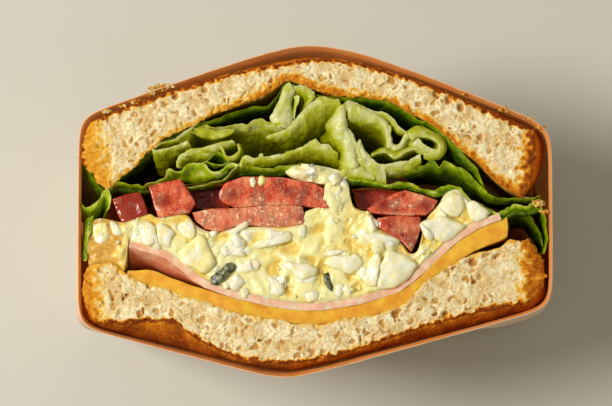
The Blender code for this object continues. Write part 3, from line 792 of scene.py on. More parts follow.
    def let_through(self, colour: object, share: float, normal: Socket | None = None) -> None:
        """Mixes in light that comes through from behind, as through paper or a leaf.

        Args:
            colour: Of the light that comes through.
            share: How much of the surface it makes up.
            normal: The relief that it sees.
        """
        inputs = {"Color": colour} | ({"Normal": normal} if normal else {})
        back = self.add("BsdfTranslucent", inputs)
        both = self.add("MixShader", {0: share, 1: self.surface.outputs[0], 2: back.outputs[0]})
        self.links.new(both.outputs[0], self.nodes["Material Output"].inputs["Surface"])


@dataclass(frozen=True)
class PaperFinish:
    """Unbleached waxed paper: fibres, soft creases and a little light coming through."""

    pale: Colour = srgb(255, 240, 212)
    deep: Colour = srgb(250, 226, 188)
    # painted shade: orange-brown for the shade and the crust's reflected colour on the wrap's inner face
    stained: Colour = srgb(242, 150, 70)
    fibres: Colour = srgb(246, 226, 200)
    specks: Colour = srgb(186, 142, 98)
    through: Colour = srgb(255, 226, 176)
    through_deep: Colour = srgb(255, 214, 158)
    through_share: float = 0.34

    def material(self) -> Material:
        """Builds the paper's material.

        Returns:
            The new material.
        """
        look = Shader("kraft_paper")
        cloud = look.noise(14, 4)
        fibre = look.noise(0.55, 3, look.stretched(1, 1, 2.4), 0.7)
        speck = look.fade(look.noise(0.8, 2), 0.60, 0.74)
        colour = look.mix(look.fade(cloud, 0.3, 0.7), self.pale, self.deep)
        colour = look.mix(look.math("MULTIPLY", fibre, 0.32), colour, self.fibres)
        colour = look.mix(look.math("MULTIPLY", speck, 0.25), colour, self.specks)
        # painted shade: the inner face is painted orange-brown, standing in for its shade and the crust's
        # reflected colour
        stain = look.math("MULTIPLY", look.marked("inside"), look.span(cloud, 0.3, 0.7, 0.85, 1.0))
        colour = look.mix(stain, colour, self.stained)
        crease = look.noise(6, 5, None, 0.6, 0.6)
        normal = look.bump(crease, 0.4, 0.3)
        normal = look.bump(fibre, 0.06, 0.5, normal)
        look.set(Base_Color=colour, Normal=normal, Specular_IOR_Level=0.35)
        look.set(Roughness=look.span(cloud, 0.3, 0.7, 0.46, 0.62))
        light = look.mix(cloud, self.through, self.through_deep)
        look.let_through(light, self.through_share, normal)
        return look.material


@dataclass(frozen=True)
class ToastFinish:
    """Bread: torn cream crumb on the cut, golden to dark brown where it is toasted."""

    crumb: Colour = srgb(250, 240, 200)
    wheat: Colour = srgb(214, 172, 88)
    # painted shade in the pores: this colour for shallow ones, pore for deep ones
    gold: Colour = srgb(206, 150, 56)
    pore: Colour = srgb(182, 118, 40)
    # painted highlight: near white on the raised fibres
    fibres: Colour = srgb(255, 248, 220)
    browned: tuple = (
        (0.12, srgb(248, 222, 142)), (0.35, srgb(232, 176, 54)), (0.56, srgb(208, 122, 14)),
        (0.78, srgb(142, 64, 8)), (1.0, srgb(82, 34, 6)))

    def material(self) -> Material:
        """Builds the bread's material from how toasted and how deep its mesh says it is.

        Returns:
            The new material.
        """
        look = Shader("toasted_bread")
        wide, fine = look.noise(4, 4, None, 0.6), look.noise(0.7, 3, None, 0.6)
        colour = look.mix(look.fade(wide, 0.42, 0.62, 0.85), self.crumb, self.wheat)
        colour = look.mix(look.fade(fine, 0.44, 0.62, 0.75), colour, self.wheat)
        # painted highlight: the fibre pattern that raises the bump also paints its peaks near white
        fibre = look.noise(0.36, 3, None, 0.7)
        colour = look.mix(look.fade(fibre, 0.5, 0.64, 0.8), colour, self.fibres)
        # painted shade: the pores are painted golden, then brown, the deeper they go
        colour = look.mix(look.span(look.marked("pore"), 0.15, 0.6, 0.0, 0.7), colour, self.gold)
        colour = look.mix(look.span(look.marked("pore"), 0.5, 1.0, 0.0, 0.9), colour, self.pore)
        speck = look.math("MULTIPLY", look.math("SUBTRACT", look.noise(0.75, 4, None, 0.75), 0.5), 0.75)
        toast = look.math("ADD", look.marked("toast"), speck)
        browned = look.ramp(toast, *self.browned)
        colour = look.mix(look.span(look.marked("toast"), 0.04, 0.3), colour, browned)
        relief = look.bump(fibre, 0.2, 0.9)
        look.set(Base_Color=colour, Roughness=0.85, Normal=relief, Specular_IOR_Level=0.2)
        look.soft(0.35, (1.0, 0.6, 0.25), 0.9)
        return look.material


@dataclass(frozen=True)
class CheeseFinish:
    """Sliced processed cheese: smooth, orange-yellow, a satin gloss."""

    bright: Colour = srgb(246, 190, 46)
    deep: Colour = srgb(226, 146, 16)
    dull: Colour = srgb(250, 214, 110)

    def material(self) -> Material:
        """Builds the cheese's material.

        Returns:
            The new material.
        """
        look = Shader("sliced_cheese")
        colour = look.mix(look.fade(look.noise(2.8, 4), 0.36, 0.66), self.bright, self.deep)
        colour = look.mix(look.math("MULTIPLY", look.noise(0.6, 2), 0.2), colour, self.dull)
        normal = look.bump(look.noise(2.2, 3), 0.3, 0.3)
        look.set(Base_Color=colour, Roughness=look.span(look.noise(1.5, 2), 0.3, 0.7, 0.3, 0.48))
        look.set(Normal=normal, Specular_IOR_Level=0.45)
        look.soft(0.5, (1.0, 0.5, 0.08), 2.0)
        return look.material


@dataclass(frozen=True)
class HamFinish:
    """Cooked ham: pink lean, paler fat streaks, a paler cut rim, and painted shade deeper down; moist."""

    lean: Colour = srgb(242, 168, 130)
    pale: Colour = srgb(252, 222, 190)
    # painted shade of the ham deeper below the cut
    dark: Colour = srgb(255, 158, 112)
    rim: Colour = srgb(246, 208, 186)

    def material(self) -> Material:
        """Builds the ham's material; the mesh stores the depth under its rim.

        Returns:
            The new material.
        """
        look = Shader("cooked_ham")
        colour = look.mix(look.fade(look.noise(2.6, 4), 0.44, 0.66), self.lean, self.pale)
        # painted shade: the ham is tinted redder and a little darker the deeper it lies below the cut
        colour = look.mix(look.span(look.marked("deep"), 2.0, 11.0, 0.0, 0.85), colour, self.dark)
        strand = look.noise(0.7, 3, look.stretched(3, 1, 1))
        fat = look.math("MULTIPLY", look.fade(strand, 0.5, 0.7), 0.45)
        colour = look.mix(fat, colour, self.pale)
        colour = look.mix(look.span(look.marked("deep"), 0.9, 0.1, 0.0, 0.4), colour, self.rim)
        look.set(Base_Color=colour, Roughness=look.span(strand, 0.3, 0.7, 0.24, 0.42))
        look.set(Normal=look.bump(strand, 0.15, 0.5), Specular_IOR_Level=0.5)
        look.soft(0.5, (1.0, 0.35, 0.25), 1.6)
        return look.material


class EggPart(Enum):
    """The parts of the salad that look different."""

    WHITE = "egg_white"
    YOLK = "egg_yolk"
    DRESSED = "dressed_egg"


@dataclass(frozen=True)
class EggFinish:
    """Boiled egg in dressing: firm moist white, dry pale yolk, or the two with dressing."""

    part: EggPart
    whites: tuple[Colour, ...] = (srgb(254, 248, 228), srgb(249, 236, 192))
    stain: Colour = srgb(250, 230, 124)
    smear: Colour = srgb(250, 232, 150)
    yolks: tuple[Colour, ...] = (srgb(254, 240, 168), srgb(250, 226, 126))
    # painted shade: from the lit top of the mass to its deepest hollows
    dressing: tuple[Colour, ...] = (
        srgb(253, 246, 220), srgb(252, 237, 160), srgb(238, 204, 90), srgb(222, 168, 58))
    # painted highlight: pale specks on the dressing
    flecks: Colour = srgb(254, 246, 208)

    def material(self) -> Material:
        """Builds the material of this part of the salad.

        Returns:
            The new material.
        """
        look = Shader(self.part.value)
        soft, fine = look.noise(2.6, 3), look.noise(0.55, 3, None, 0.65)
        if self.part is EggPart.WHITE:
            colour = look.mix(look.fade(soft, 0.35, 0.75), *self.whites)
            yolk = look.math("MULTIPLY", look.marked("yolk"), look.ramp(fine, (0.3, 1.0), (0.7, 0.6)))
            colour = look.mix(yolk, colour, self.stain)
            smear = look.fade(look.noise(1.7, 4), 0.52, 0.64, 0.6)
            colour = look.mix(smear, colour, self.smear)
            look.set(Roughness=look.span(fine, 0.3, 0.7, 0.26, 0.4))
            look.set(Normal=look.bump(look.noise(1.2, 3), 0.3, 0.6), Specular_IOR_Level=0.5)
            look.soft(0.7, (1.0, 0.88, 0.66), 1.6)
        elif self.part is EggPart.YOLK:
            colour = look.mix(look.fade(soft, 0.3, 0.7), *self.yolks)
            look.set(Roughness=0.5, Normal=look.bump(fine, 0.2, 0.8), Specular_IOR_Level=0.35)
            look.soft(0.5, (1.0, 0.75, 0.25), 1.2)
        else:
            # painted shade: the dressing is painted deeper ochre where the mass lies low, and at its left
            # end
            colour = look.ramp(look.marked("hollow"), *zip((0.0, 0.4, 0.8, 1.0), self.dressing))
            # painted highlight: pale specks strewn by noise over the dressing
            colour = look.mix(look.fade(fine, 0.5, 0.72, 0.5), colour, self.flecks)
            look.set(Roughness=look.span(soft, 0.3, 0.7, 0.24, 0.42), Specular_IOR_Level=0.5)
            look.set(Normal=look.bump(look.noise(1.1, 3, None, 0.55), 0.26, 0.6))
            look.soft(0.7, (1.0, 0.78, 0.34), 1.8)
        look.set(Base_Color=colour)
        return look.material


@dataclass(frozen=True)
class PickleFinish:
    """Chopped pickled cucumber: grey-green flesh under a dark skin, wet."""

    flesh: Colour = srgb(120, 122, 84)
    skin: Colour = srgb(42, 44, 26)

    def material(self) -> Material:
        """Builds the pickle's material.

        Returns:
            The new material.
        """
        look = Shader("pickle")
        blotch = look.fade(look.noise(1.3, 4, None, 0.65), 0.42, 0.56)
        colour = look.mix(blotch, self.skin, self.flesh)
        look.set(Base_Color=colour, Roughness=0.2, Specular_IOR_Level=0.6)
        look.set(Normal=look.bump(look.noise(0.7, 3), 0.25, 0.8))
        look.soft(0.2, (0.7, 1.0, 0.3), 1.0)
        return look.material


@dataclass(frozen=True)
class TomatoFinish:
    """Cut tomato: grainy flesh, darker wet hollows, glossy skin, traces of dressing."""

    flesh: Colour = srgb(208, 64, 32)
    pale: Colour = srgb(240, 146, 98)
    # the wet colour also paints the shade on pieces painted dark all over
    wet: Colour = srgb(140, 22, 10)
    skin: Colour = srgb(206, 64, 18)
    smear: Colour = srgb(250, 220, 176)
    glints: Colour = srgb(255, 214, 178)

    def material(self) -> Material:
        """Builds the tomato's material from what its mesh stores.

        Returns:
            The new material.
        """
        look = Shader("cut_tomato")
        grain, wide = look.noise(0.6, 4, None, 0.65), look.noise(2.6, 3, look.stretched(0.9, 2.0))
        glint = look.fade(look.noise(0.34, 2), 0.57, 0.66, 0.4)
        colour = look.ramp(wide, (0.34, self.wet), (0.5, self.flesh), (0.72, self.pale))
        colour = look.mix(look.fade(grain, 0.46, 0.66, 0.5), colour, self.pale)
        colour = look.mix(glint, colour, self.glints)
        # gel: real wet hollows, and painted shade where a piece is painted dark all over
        colour = look.mix(look.math("MULTIPLY", look.marked("gel"), 0.85), colour, self.wet)
        side = look.marked("side")
        colour = look.mix(look.span(side, 0.25, 0.8), colour, self.skin)
        dots = look.fade(look.noise(0.9, 3, None, 0.6), 0.56, 0.66)
        smear = look.math("MULTIPLY", look.marked("smear"), look.math("ADD", dots, 0.25))
        colour = look.mix(look.span(smear, 0.0, 1.0), colour, self.smear)
        bumpy = look.bump(grain, 0.05, 0.4)
        bumpy = look.bump(look.noise(1.7, 2), 0.5, 0.6, bumpy)
        look.set(Base_Color=colour, Normal=bumpy, Specular_IOR_Level=0.5)
        look.set(Roughness=look.span(wide, 0.35, 0.65, 0.2, 0.1))
        look.soft(0.5, (1.0, 0.3, 0.1), 1.6)
        return look.material


class LeafKind(Enum):
    """Outer leaves are green; those of the heart are pale with thick ribs."""

    GREEN = "green_lettuce"
    PALE = "pale_lettuce"


@dataclass(frozen=True)
class LeafFinish:
    """Lettuce: pale at rim and rib, greener between, veined, crisp and translucent."""

    kind: LeafKind
    # from pale to dark; the dark end paints the shade deep among the leaves
    pale_tones: tuple = (
        (0.0, srgb(250, 251, 190)), (0.12, srgb(236, 239, 130)), (0.3, srgb(212, 216, 46)),
        (0.5, srgb(170, 174, 8)), (0.75, srgb(120, 118, 0)), (1.0, srgb(44, 44, 0)))
    green_tones: tuple = (
        (0.0, srgb(238, 242, 132)), (0.15, srgb(192, 212, 26)), (0.35, srgb(128, 156, 4)),
        (0.65, srgb(58, 86, 0)), (1.0, srgb(16, 24, 0)))
    pale_glow: tuple = (srgb(220, 224, 70), 0.42)  # its colour and its share
    green_glow: tuple = (srgb(140, 170, 6), 0.3)
    vein_size: float = 3.4
    hair_size: float = 1.3

    def material(self) -> Material:
        """Builds the leaf's material; the mesh stores its tone, which darkens with depth as painted shade,
        and its rim.

        Returns:
            The new material.
        """
        look = Shader(self.kind.value)
        pale = self.kind is LeafKind.PALE
        tones, (light, share) = (
            (self.pale_tones, self.pale_glow) if pale else (self.green_tones, self.green_glow))
        blot = look.math("MULTIPLY", look.math("SUBTRACT", look.noise(3.2, 4), 0.5), 0.5)
        tone = look.math("ADD", look.marked("tone"), blot)
        map_uv = look.add("TexCoord").outputs["UV"]
        warped = look.add("Mapping", {"Vector": map_uv, "Scale": (0.001, 0.0006, 0.001)}).outputs[0]
        veins = look.cells(self.vein_size, warped)
        thin = look.cells(self.hair_size, warped)
        line = look.span(veins, 0.0, 0.09, 1.0, 0.0)
        hair = look.span(thin, 0.0, 0.10, 0.5, 0.0)
        web = look.math("MAXIMUM", line, hair)
        tone = look.math("SUBTRACT", tone, look.math("MULTIPLY", web, 0.12))
        colour = look.ramp(tone, *tones)
        normal = look.bump(look.noise(1.4, 3), 0.45, 0.55)
        normal = look.bump(look.noise(0.5, 3), 0.1, 0.4, normal)
        normal = look.bump(web, 0.16, 0.6, normal)
        look.set(Base_Color=colour, Normal=normal, Specular_IOR_Level=0.38)
        look.set(Roughness=look.span(look.noise(1.0, 2), 0.3, 0.7, 0.1, 0.26))
        look.let_through(look.mix(0.6, colour, light), share, normal)
        return look.material


# --- the paper wrap


@dataclass
class PaperWrap:
    """Thin paper round the half: a creased cup, open at the cut, folded up at both ends."""

    around: int = 460
    samples: int = 1440  # of the outline, before it is spaced by how much it bends
    bend_weight: float = 6.0
    thickness: float = 0.3
    inset: float = 0.3
    rim_height: float = 60.5
    rim_lean: float = 0.25
    crease_sizes: Triple = (17.0, 7.5, 3.0)
    facet_size: float = 13.0
    fray_radius: float = 58.0
    wall_rows: int = 44
    wall_foot: float = 2.6
    foot: Line = ((1.7, 0.5), (1.0, 0.95), (0.5, 1.7), (0.22, 2.8))  # height, and how far in
    back_rows: int = 12
    back_height: float = 0.2
    ends: Pair = (57.4, 58.8)  # where the long sides turn to the end walls
    fold_thickness: float = 0.24
    fold_cells: tuple[int, int] = (44, 34)
    tuck: tuple = ((2.8, -20, 12), (7, -17, 9), (12, -10, 5.5), (17, -4, 1.5), (20, -1.6, -0.6))
    tuck_lift: Pair = (0.15, 0.1)
    flap: tuple = ((15, -13.5, -10), (22, -17, -8), (34, -20, -4.5), (44, -21, -3.4), (53, -22, -2.6))
    flap_lift: Pair = (0.2, 0.1)
    finish: PaperFinish = field(default_factory=PaperFinish)

    def directions(self) -> Array:
        """Directions from the middle, closer where the outline turns.

        Returns:
            Unit directions, one for each column of the wall.
        """
        turns = np.linspace(0, 2 * math.pi, self.samples, endpoint=False)
        ways = np.column_stack([np.cos(turns), np.sin(turns)])
        outline = ways * SECTION.edge(np.zeros_like(ways), ways, 0.0)[:, None]
        step = np.roll(outline, -1, axis=0) - outline
        heading = np.unwrap(np.arctan2(step[:, 1], step[:, 0]))
        bend = np.abs(np.gradient(heading))
        measure = np.cumsum(np.linalg.norm(step, axis=1) + self.bend_weight * bend)
        stops = np.arange(self.around) * measure[-1] / self.around
        picked = np.interp(stops, measure, np.arange(self.samples)) * math.pi / (self.samples / 2)
        return np.column_stack([np.cos(picked), np.sin(picked)])

    def crumple(self, points: Array) -> Array:
        """Standing out of creased paper: soft folds with sharp ridges between flats.

        Args:
            points: Points of the smooth wall.

        Returns:
            How far each stands out, in millimetres.
        """
        broad, narrow, grain = self.crease_sizes
        tall = points * [1.0, 1.0, 0.5]
        ridge = 1 - np.abs(GRAIN.smooth(tall + 40, broad))
        fine = 1 - np.abs(GRAIN.smooth(points * [1, 1, 0.8] - 25, narrow))
        near, second, _ = GRAIN.cells(tall * [1, 1, 0.9], self.facet_size)
        facet = np.clip(second - near, 0, 0.6)
        rough = GRAIN.smooth(points, grain, 2)
        return 0.42 * ridge**3 + 0.3 * fine**4 + 0.5 * facet + 0.16 * rough

    def wall_points(self, ways: Array, height: Array,
                    inset: Array | float) -> Array:
        """One ring of the wall, creased outwards, at the given heights.

        Args:
            ways: The directions of the columns.
            height: The height of each column's point.
            inset: How far inside the outline the ring lies.

        Returns:
            A point for each direction.
        """
        reach = SECTION.edge(np.zeros_like(ways), ways, inset)
        flat = ways * reach[:, None]
        ring = np.column_stack([flat, height])
        stand = self.crumple(ring) * ease(inset, 3.0, 0.6)
        end = ease(np.abs(flat[:, 0]), *self.ends)
        stand *= (1 - 0.55 * end) * (0.15 + 0.85 * ease(CUT - height, 1.0, 15.0))
        ring[:, :2] += ways * stand[:, None]
        return SECTION.settle(ring)

    def wall(self) -> Piece:
        """The cup: rim, wall, turned corner and the folded back on the table.

        Returns:
            The cup as one object.
        """
        ways = self.directions()
        flat = spread(ways * self.fray_radius, 0.0)
        fray = 0.42 * GRAIN.smooth(flat, 13) + 0.2 * GRAIN.smooth(flat, 2.6, 2)
        rim = self.rim_height + np.clip(fray, -0.6, 0.7)
        rings = []
        for share in np.linspace(0, 1, self.wall_rows) ** 1.15:
            height = rim + (self.wall_foot - rim) * share
            lean = self.rim_lean - 0.65 * ease(rim - height, 1.8, 0.0)
            rings.append(self.wall_points(ways, height, self.inset + lean * ease(height, 30, 50)))
        for height, inset in self.foot:
            rings.append(self.wall_points(ways, np.full(len(ways), height), inset + self.inset))
        last = rings[-1]
        for share in np.linspace(0.92, 0, self.back_rows):
            ring = last * [share, share, 1]
            fold = 0.10 * np.abs(GRAIN.smooth(ring, 9)) * (share > 0)
            ring[:, 2] = self.back_height + fold
            rings.append(ring)
        points = np.array(rings)
        points = np.concatenate([points, points[:, :1]], axis=1)
        piece = lay_grid("paper_wrap", points)
        merge(piece)
        thicken(piece, self.thickness)
        reach = np.linalg.norm(points_of(piece)[:, :2], axis=1).reshape(2, -1)
        inner = np.array([0.0, 1.0] if reach[0].mean() > reach[1].mean() else [1.0, 0.0])
        mark(piece, "inside", np.repeat(inner, reach.shape[1]))
        return piece

    def fold(self, name: str, side: int, rows: tuple, lift: Pair) -> None:
        """A paper fold that lies on an end wall, from its rows of (height, low y, high y).

        Args:
            name: The piece's name.
            side: -1 for the left end, 1 for the right.
            rows: Height and the two edges at that height, from the bottom up.
            lift: How far it stands off the wall along its middle and at its edges.
        """
        down, across = self.fold_cells
        levels = curve(rows, down)
        share = np.linspace(0, 1, across)
        grid = []
        for z, low, high in levels:
            y = low + (high - low) * share
            start = np.column_stack([np.zeros(across), y])
            reach = SECTION.edge(start, np.tile([float(side), 0.0], (across, 1)), self.inset)
            line = np.column_stack([side * reach, y, np.full(across, z)])
            stand = lift[0] + (lift[1] - lift[0]) * (2 * np.abs(share - 0.5)) ** 3
            stand += 0.28 * GRAIN.smooth(line * [1, 1, 0.6] + 11 * side, 6, 2) + 0.35
            line[:, 0] += side * np.maximum(stand, 0.25)
            grid.append(SECTION.settle(line))
        piece = lay_grid(name, np.array(grid))
        thicken(piece, self.fold_thickness)
        merge(piece)
        finish_piece(piece, self.look, Slot.PAPER)

    def build(self) -> None:
        """Makes the wall and both ends' folds."""
        self.look = self.finish.material()
        finish_piece(self.wall(), self.look, Slot.PAPER, "paper_wrap", angle=50)
        for side, word in ((-1, "left"), (1, "right")):
            self.fold(f"wrap_tuck_{word}", side, self.tuck, self.tuck_lift)
            self.fold(f"wrap_flap_{word}", side, self.flap, self.flap_lift)


# --- crumbs


def crumb_shape(number: int) -> Piece:
    """A crumb: a small uneven ball.

    Args:
        number: Which crumb it is; each has its own lumps.

    Returns:
        The crumb, a unit in radius.
    """
    deselect()
    bpy.ops.mesh.primitive_ico_sphere_add(subdivisions=2, radius=1.0)
    piece = bpy.context.object
    piece.name = f"crumb_{number}"
    points = np.array([vertex.co for vertex in piece.data.vertices])
    rough = 1 + 0.5 * GRAIN.smooth(points + 9 * number, 0.8, 2)
    piece.data.vertices.foreach_set("co", (points * rough[:, None]).astype(np.float32).ravel())
    return piece


def strewn(name: str, shapes: list, places: Array, sizes: Pair,
           draw: np.random.Generator) -> Piece:
    """Copies small shapes to places in millimetres, each with its own mesh, and joins them.

    Args:
        name: The piece's name.
        shapes: The shapes to copy, which are removed in the end.
        places: Where the copies go, in millimetres.
        sizes: Least and most radius.
        draw: The source of chance.

    Returns:
        All copies as one object.
    """
    copies = []
    for x, y, z in places:
        size = sizes[0] + (sizes[1] - sizes[0]) * draw.random() ** 1.7
        copy = bpy.data.objects.new(name, shapes[draw.integers(len(shapes))].data.copy())
        bpy.context.scene.collection.objects.link(copy)
        turn = Euler(draw.uniform(0, 2 * math.pi, 3)).to_matrix().to_4x4()
        stretch = Matrix.Diagonal((*(size * MM * draw.uniform(0.7, 1.15, 3)), 1))
        seat = Matrix.Translation(Vector((x, y, z - 0.2 * size)) * MM)
        copy.data.transform(seat @ turn @ stretch)
        copies.append(copy)
    for shape in shapes:
        bpy.data.objects.remove(shape)
    return joined(name, copies)


@dataclass(frozen=True)
class LooseCrumbs:
    """Crumbs torn off the crust where the knife came through, on the paper's rim."""

    patches: Line = (  # pixel of the middle, half width, count
        (106, 111, 4, 26), (121, 105, 3, 10), (135, 101, 4, 8), (158, 87, 7, 34), (168, 85, 4, 20),
        (150, 93, 4, 10), (466, 93, 3, 8), (505, 109, 5, 10), (530, 118, 5, 12),
        (541, 127, 3, 14), (538, 203, 5, 30), (545, 212, 2.5, 16))
    shapes: int = 4
    sizes: Pair = (0.15, 0.5)
    heights: Pair = (-0.4, 0.6)  # below the cut
    seed: int = 5

    def build(self, look: Material) -> None:
        """Strews the crumbs patch by patch.

        Args:
            look: The toast's material.
        """
        draw = np.random.default_rng(self.seed)
        spots = [draw.normal((x, y), (wide / 1.6, wide / 4.5)) for x, y, wide, count in self.patches
                 for _ in range(2 * int(count))]
        places = VIEW.sight(spots, draw.uniform(*self.heights, len(spots)))
        shapes = [crumb_shape(number) for number in range(self.shapes)]
        piece = strewn("crust_crumbs", shapes, places, self.sizes, draw)
        at = points_of(piece)
        mark(piece, "toast", np.clip(0.36 + 0.5 * GRAIN.smooth(at, 1.0), 0, 1))
        finish_piece(piece, look, Slot.TOAST)


# --- slabs cut through


@dataclass
class Slab:
    """A layer between two edges of the section, from the cut down to its closed back.

    low and high are its edges, with as many points each. heights are those of its rings, from
    the cut down. bulge rounds its two ends out.
    """

    name: str
    low: Array
    high: Array
    cells: tuple[int, int]
    heights: tuple[float, ...]
    bulge: Pair = (0.0, 0.0)
    bulge_fade: float = 0.9  # how fast that fades from point to point
    draft: Pair = (100.0, 20.0)  # size of the sheet before it gets its shape

    def sheet(self) -> Piece:
        """The cut face as a grid, its boundary let down level by level and closed.

        Returns:
            The slab, closed, with each vertex marked by where it belongs.
        """
        along, across = self.cells
        a, b = np.meshgrid(np.linspace(0, 1, along + 1), np.linspace(0, 1, across + 1))
        long, wide = self.draft
        flat = np.stack([a * long, b * wide, np.full(a.shape, CUT)], axis=-1)
        piece = lay_grid(self.name, flat, {"along": a, "across": b})
        only(piece)
        bpy.ops.object.mode_set(mode="EDIT")
        bpy.ops.mesh.select_mode(type="EDGE")
        bpy.ops.mesh.select_all(action="DESELECT")
        bpy.ops.mesh.select_non_manifold(
            extend=False, use_wire=False, use_boundary=True, use_multi_face=False,
            use_non_contiguous=False, use_verts=False)
        for _ in self.heights[1:]:
            down = {"value": (0, 0, -MM)}
            bpy.ops.mesh.extrude_region_move(TRANSFORM_OT_translate=down)
        bpy.ops.mesh.edge_face_add()
        bpy.ops.mesh.quads_convert_to_tris()
        bpy.ops.object.mode_set(mode="OBJECT")
        top = (along + 1) * (across + 1)
        ring = 2 * (along + across)
        number = np.arange(len(piece.data.vertices))
        mark(piece, "level", np.where(number < top, 0, (number - top) // ring + 1))
        return piece

    def seats(self, piece: Piece) -> tuple[Array, ...]:
        """Where each vertex of the sheet belongs.

        Args:
            piece: The sheet that this slab made.

        Returns:
            Its shares along and across the layer, its level and its height, by vertex.
        """
        along, across, level = (marked(piece, key) for key in ("along", "across", "level"))
        return along, across, level, np.array(self.heights)[level.astype(int)]

    def section(self, along: Array, across: Array) -> Array:
        """Points of the section at shares along and across the layer.

        Args:
            along: Shares from the left end to the right one.
            across: Shares from the low edge to the high one.

        Returns:
            A flat point for each pair of shares.
        """
        stops = np.linspace(0, 1, len(self.low))
        low, high = (
            np.column_stack([np.interp(along, stops, column) for column in line.T])
            for line in (self.low, self.high)
        )
        flat = low + (high - low) * across[:, None]
        round_out = 4 * np.clip(across * (1 - across), 0, 1)
        last = len(self.low) - 1
        fade = -self.bulge_fade * last
        flat[:, 0] += round_out * self.bulge[1] * np.exp(fade * (1 - along))
        flat[:, 0] -= round_out * self.bulge[0] * np.exp(fade * along)
        return flat


# --- bread


